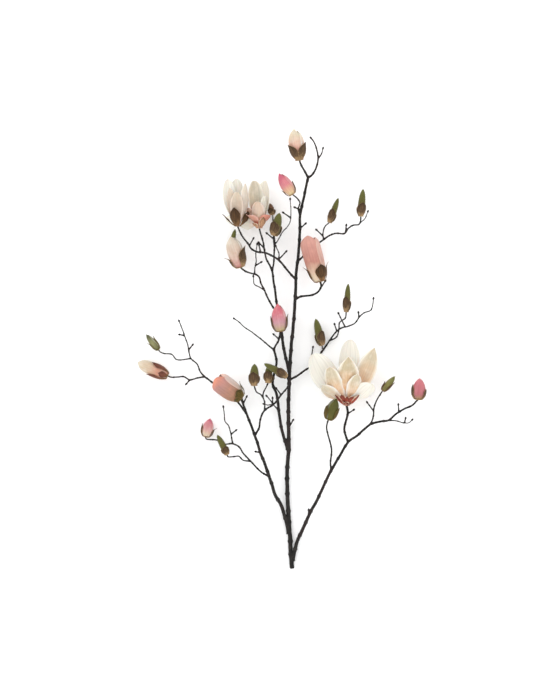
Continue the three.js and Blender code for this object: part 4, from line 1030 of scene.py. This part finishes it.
draw = random.Random(23)
for name, head in OPEN.items():
    form = bmesh.new()
    foot = (head["core"] * TEPAL["foot_out"], NECK + TEPAL["foot_up"])
    for blade in head["tepals"]:
        add_sheet(form, TEPAL["grid"], free_place(
            blade, foot, TEPAL["foot"], TEPAL["wave"] * blade["width"] / TEPAL["usual_width"],
            draw.uniform(0, 2 * math.pi),
        ), blade["pale"])
    finish = tepal_material(name + "_petal_skin", head["colours"], head["rim"], head["tones"],
                            TEPAL["rim"])
    show_on_head(form, name, "tepals", head["seat"], finish, "bud", head["slot"], TEPAL["thick"])


# Bracts of the opening heads: pointed leathery scales on the cup, curling away from the tepals.
# Each is its turn, length, width, opening angles from foot to tip, arch in radians and twist.
# A head's bracts come with the length that its neck is worked out from, their look and their slot.
BRACTS = {
    "head_03": ([tepal(108, 54, 31, (60, 14, -2)), tepal(8, 44, 20, (60, 20, 4), 0.6, 40),
                 tepal(165, 44, 12, (64, 38, 40), 0.6)], 62, "dark_scale", "dark_scale"),
    "head_04": ([tepal(62, 34, 24, (60, 34, 0), 1.0), tepal(128, 24, 16, (66, 40, 60), 0.8),
                 tepal(242, 26, 14, (76, 66, 74), 0.6)], 12, "tan_scale", "brown_scale"),
    "head_23": ([tepal(142, 44, 22, (66, 36, 34), 0.8), tepal(38, 44, 22, (66, 36, 34), 0.8),
                 tepal(112, 46, 20, (62, 26, 40), 0.9), tepal(66, 42, 20, (62, 26, 44), 0.9),
                 tepal(90, 38, 22, (70, 36, 10), 1.0), tepal(98, 28, 20, (78, 48, 56), 0.9),
                 tepal(84, 20, 24, (86, 68, 60))], 14, "curled_scale", "rust_scale"),
}
BRACT = {"foot_out": 0.85, "foot": 0.42, "wave": 1.2, "point": 0.95}
CUP_WALL = 1.3

for name, (bracts, neck_length, look, slot) in BRACTS.items():
    head = OPEN[name]
    neck = neck_radius(neck_length, head["core"], OPEN_SHAPE)
    foot = (neck * BRACT["foot_out"], BLADE_SEAT)
    places = [free_place(
        {**blade, "point": BRACT["point"]}, foot, BRACT["foot"], BRACT["wave"], blade["turn"],
    ) for blade in bracts]
    show_scales(name, "bracts", head["seat"], BRACT_GRID, places, neck + CUP_WALL, look, slot)


# Middles of the two open blooms: a cone of small curved styles over a ring of flat stamens, all
# grown on the head's axis. They are fleshy and matt, pale green-gold with coral feet.
CENTRES = {
    "head_04": {"from": 12, "radius": 6, "length": 26},
    "head_23": {"from": 14, "radius": 7, "length": 32},
}
# The lowest one's place on the cone and how far up they spread are shares of the cone's length.
# Of four stamens in turn, each is longer than the one before.
STAMEN = {"count": 34, "lowest": 0.02, "spread": 0.26, "length": 7, "longer": 1, "radius": 0.7,
          "lean": 0.9}
STYLE = {"count": 46, "lowest": 0.3, "spread": 0.68, "length": 4.2, "longer": 0, "radius": 0.75,
         "lean": 0.7}
SUNK = 0.9
BLUNT_TIP = 0.35
CONE_SHAPE = (0.35, 0.7, 1.5)
CONE_STEPS = (16, 12)
CENTRE_COLOURS = ("#c9543c", "#d98a52", "#c9b172")
GOLDEN_ANGLE = math.radians(137.5)

centre_finish = felt_material("style_and_stamen_skin", CENTRE_COLOURS)
for name, cone in CENTRES.items():
    start = cone["from"] + 2 * GAP
    length = start + cone["length"]
    form = bud_body(length, cone["radius"], CONE_SHAPE, start, *CONE_STEPS)
    for kind in (STAMEN, STYLE):
        for k in range(kind["count"]):
            share = kind["lowest"] + kind["spread"] * k / kind["count"]
            out = Vector((math.cos(GOLDEN_ANGLE * k), 0, math.sin(GOLDEN_ANGLE * k)))
            up = start + cone["length"] * share
            root = out * cone["radius"] * SUNK * egg(up / length, *CONE_SHAPE) + AXIS * up
            tall = kind["length"] + kind["longer"] * (k % 4)
            lean = (out * kind["lean"] + AXIS).normalized()
            add_taper(form, root, lean, tall, 6, kind["radius"], kind["radius"] * BLUNT_TIP)
    mark_along(form, start, length)
    show_on_head(form, name, "stamens", OPEN[name]["seat"], centre_finish, "centre", "stamen")
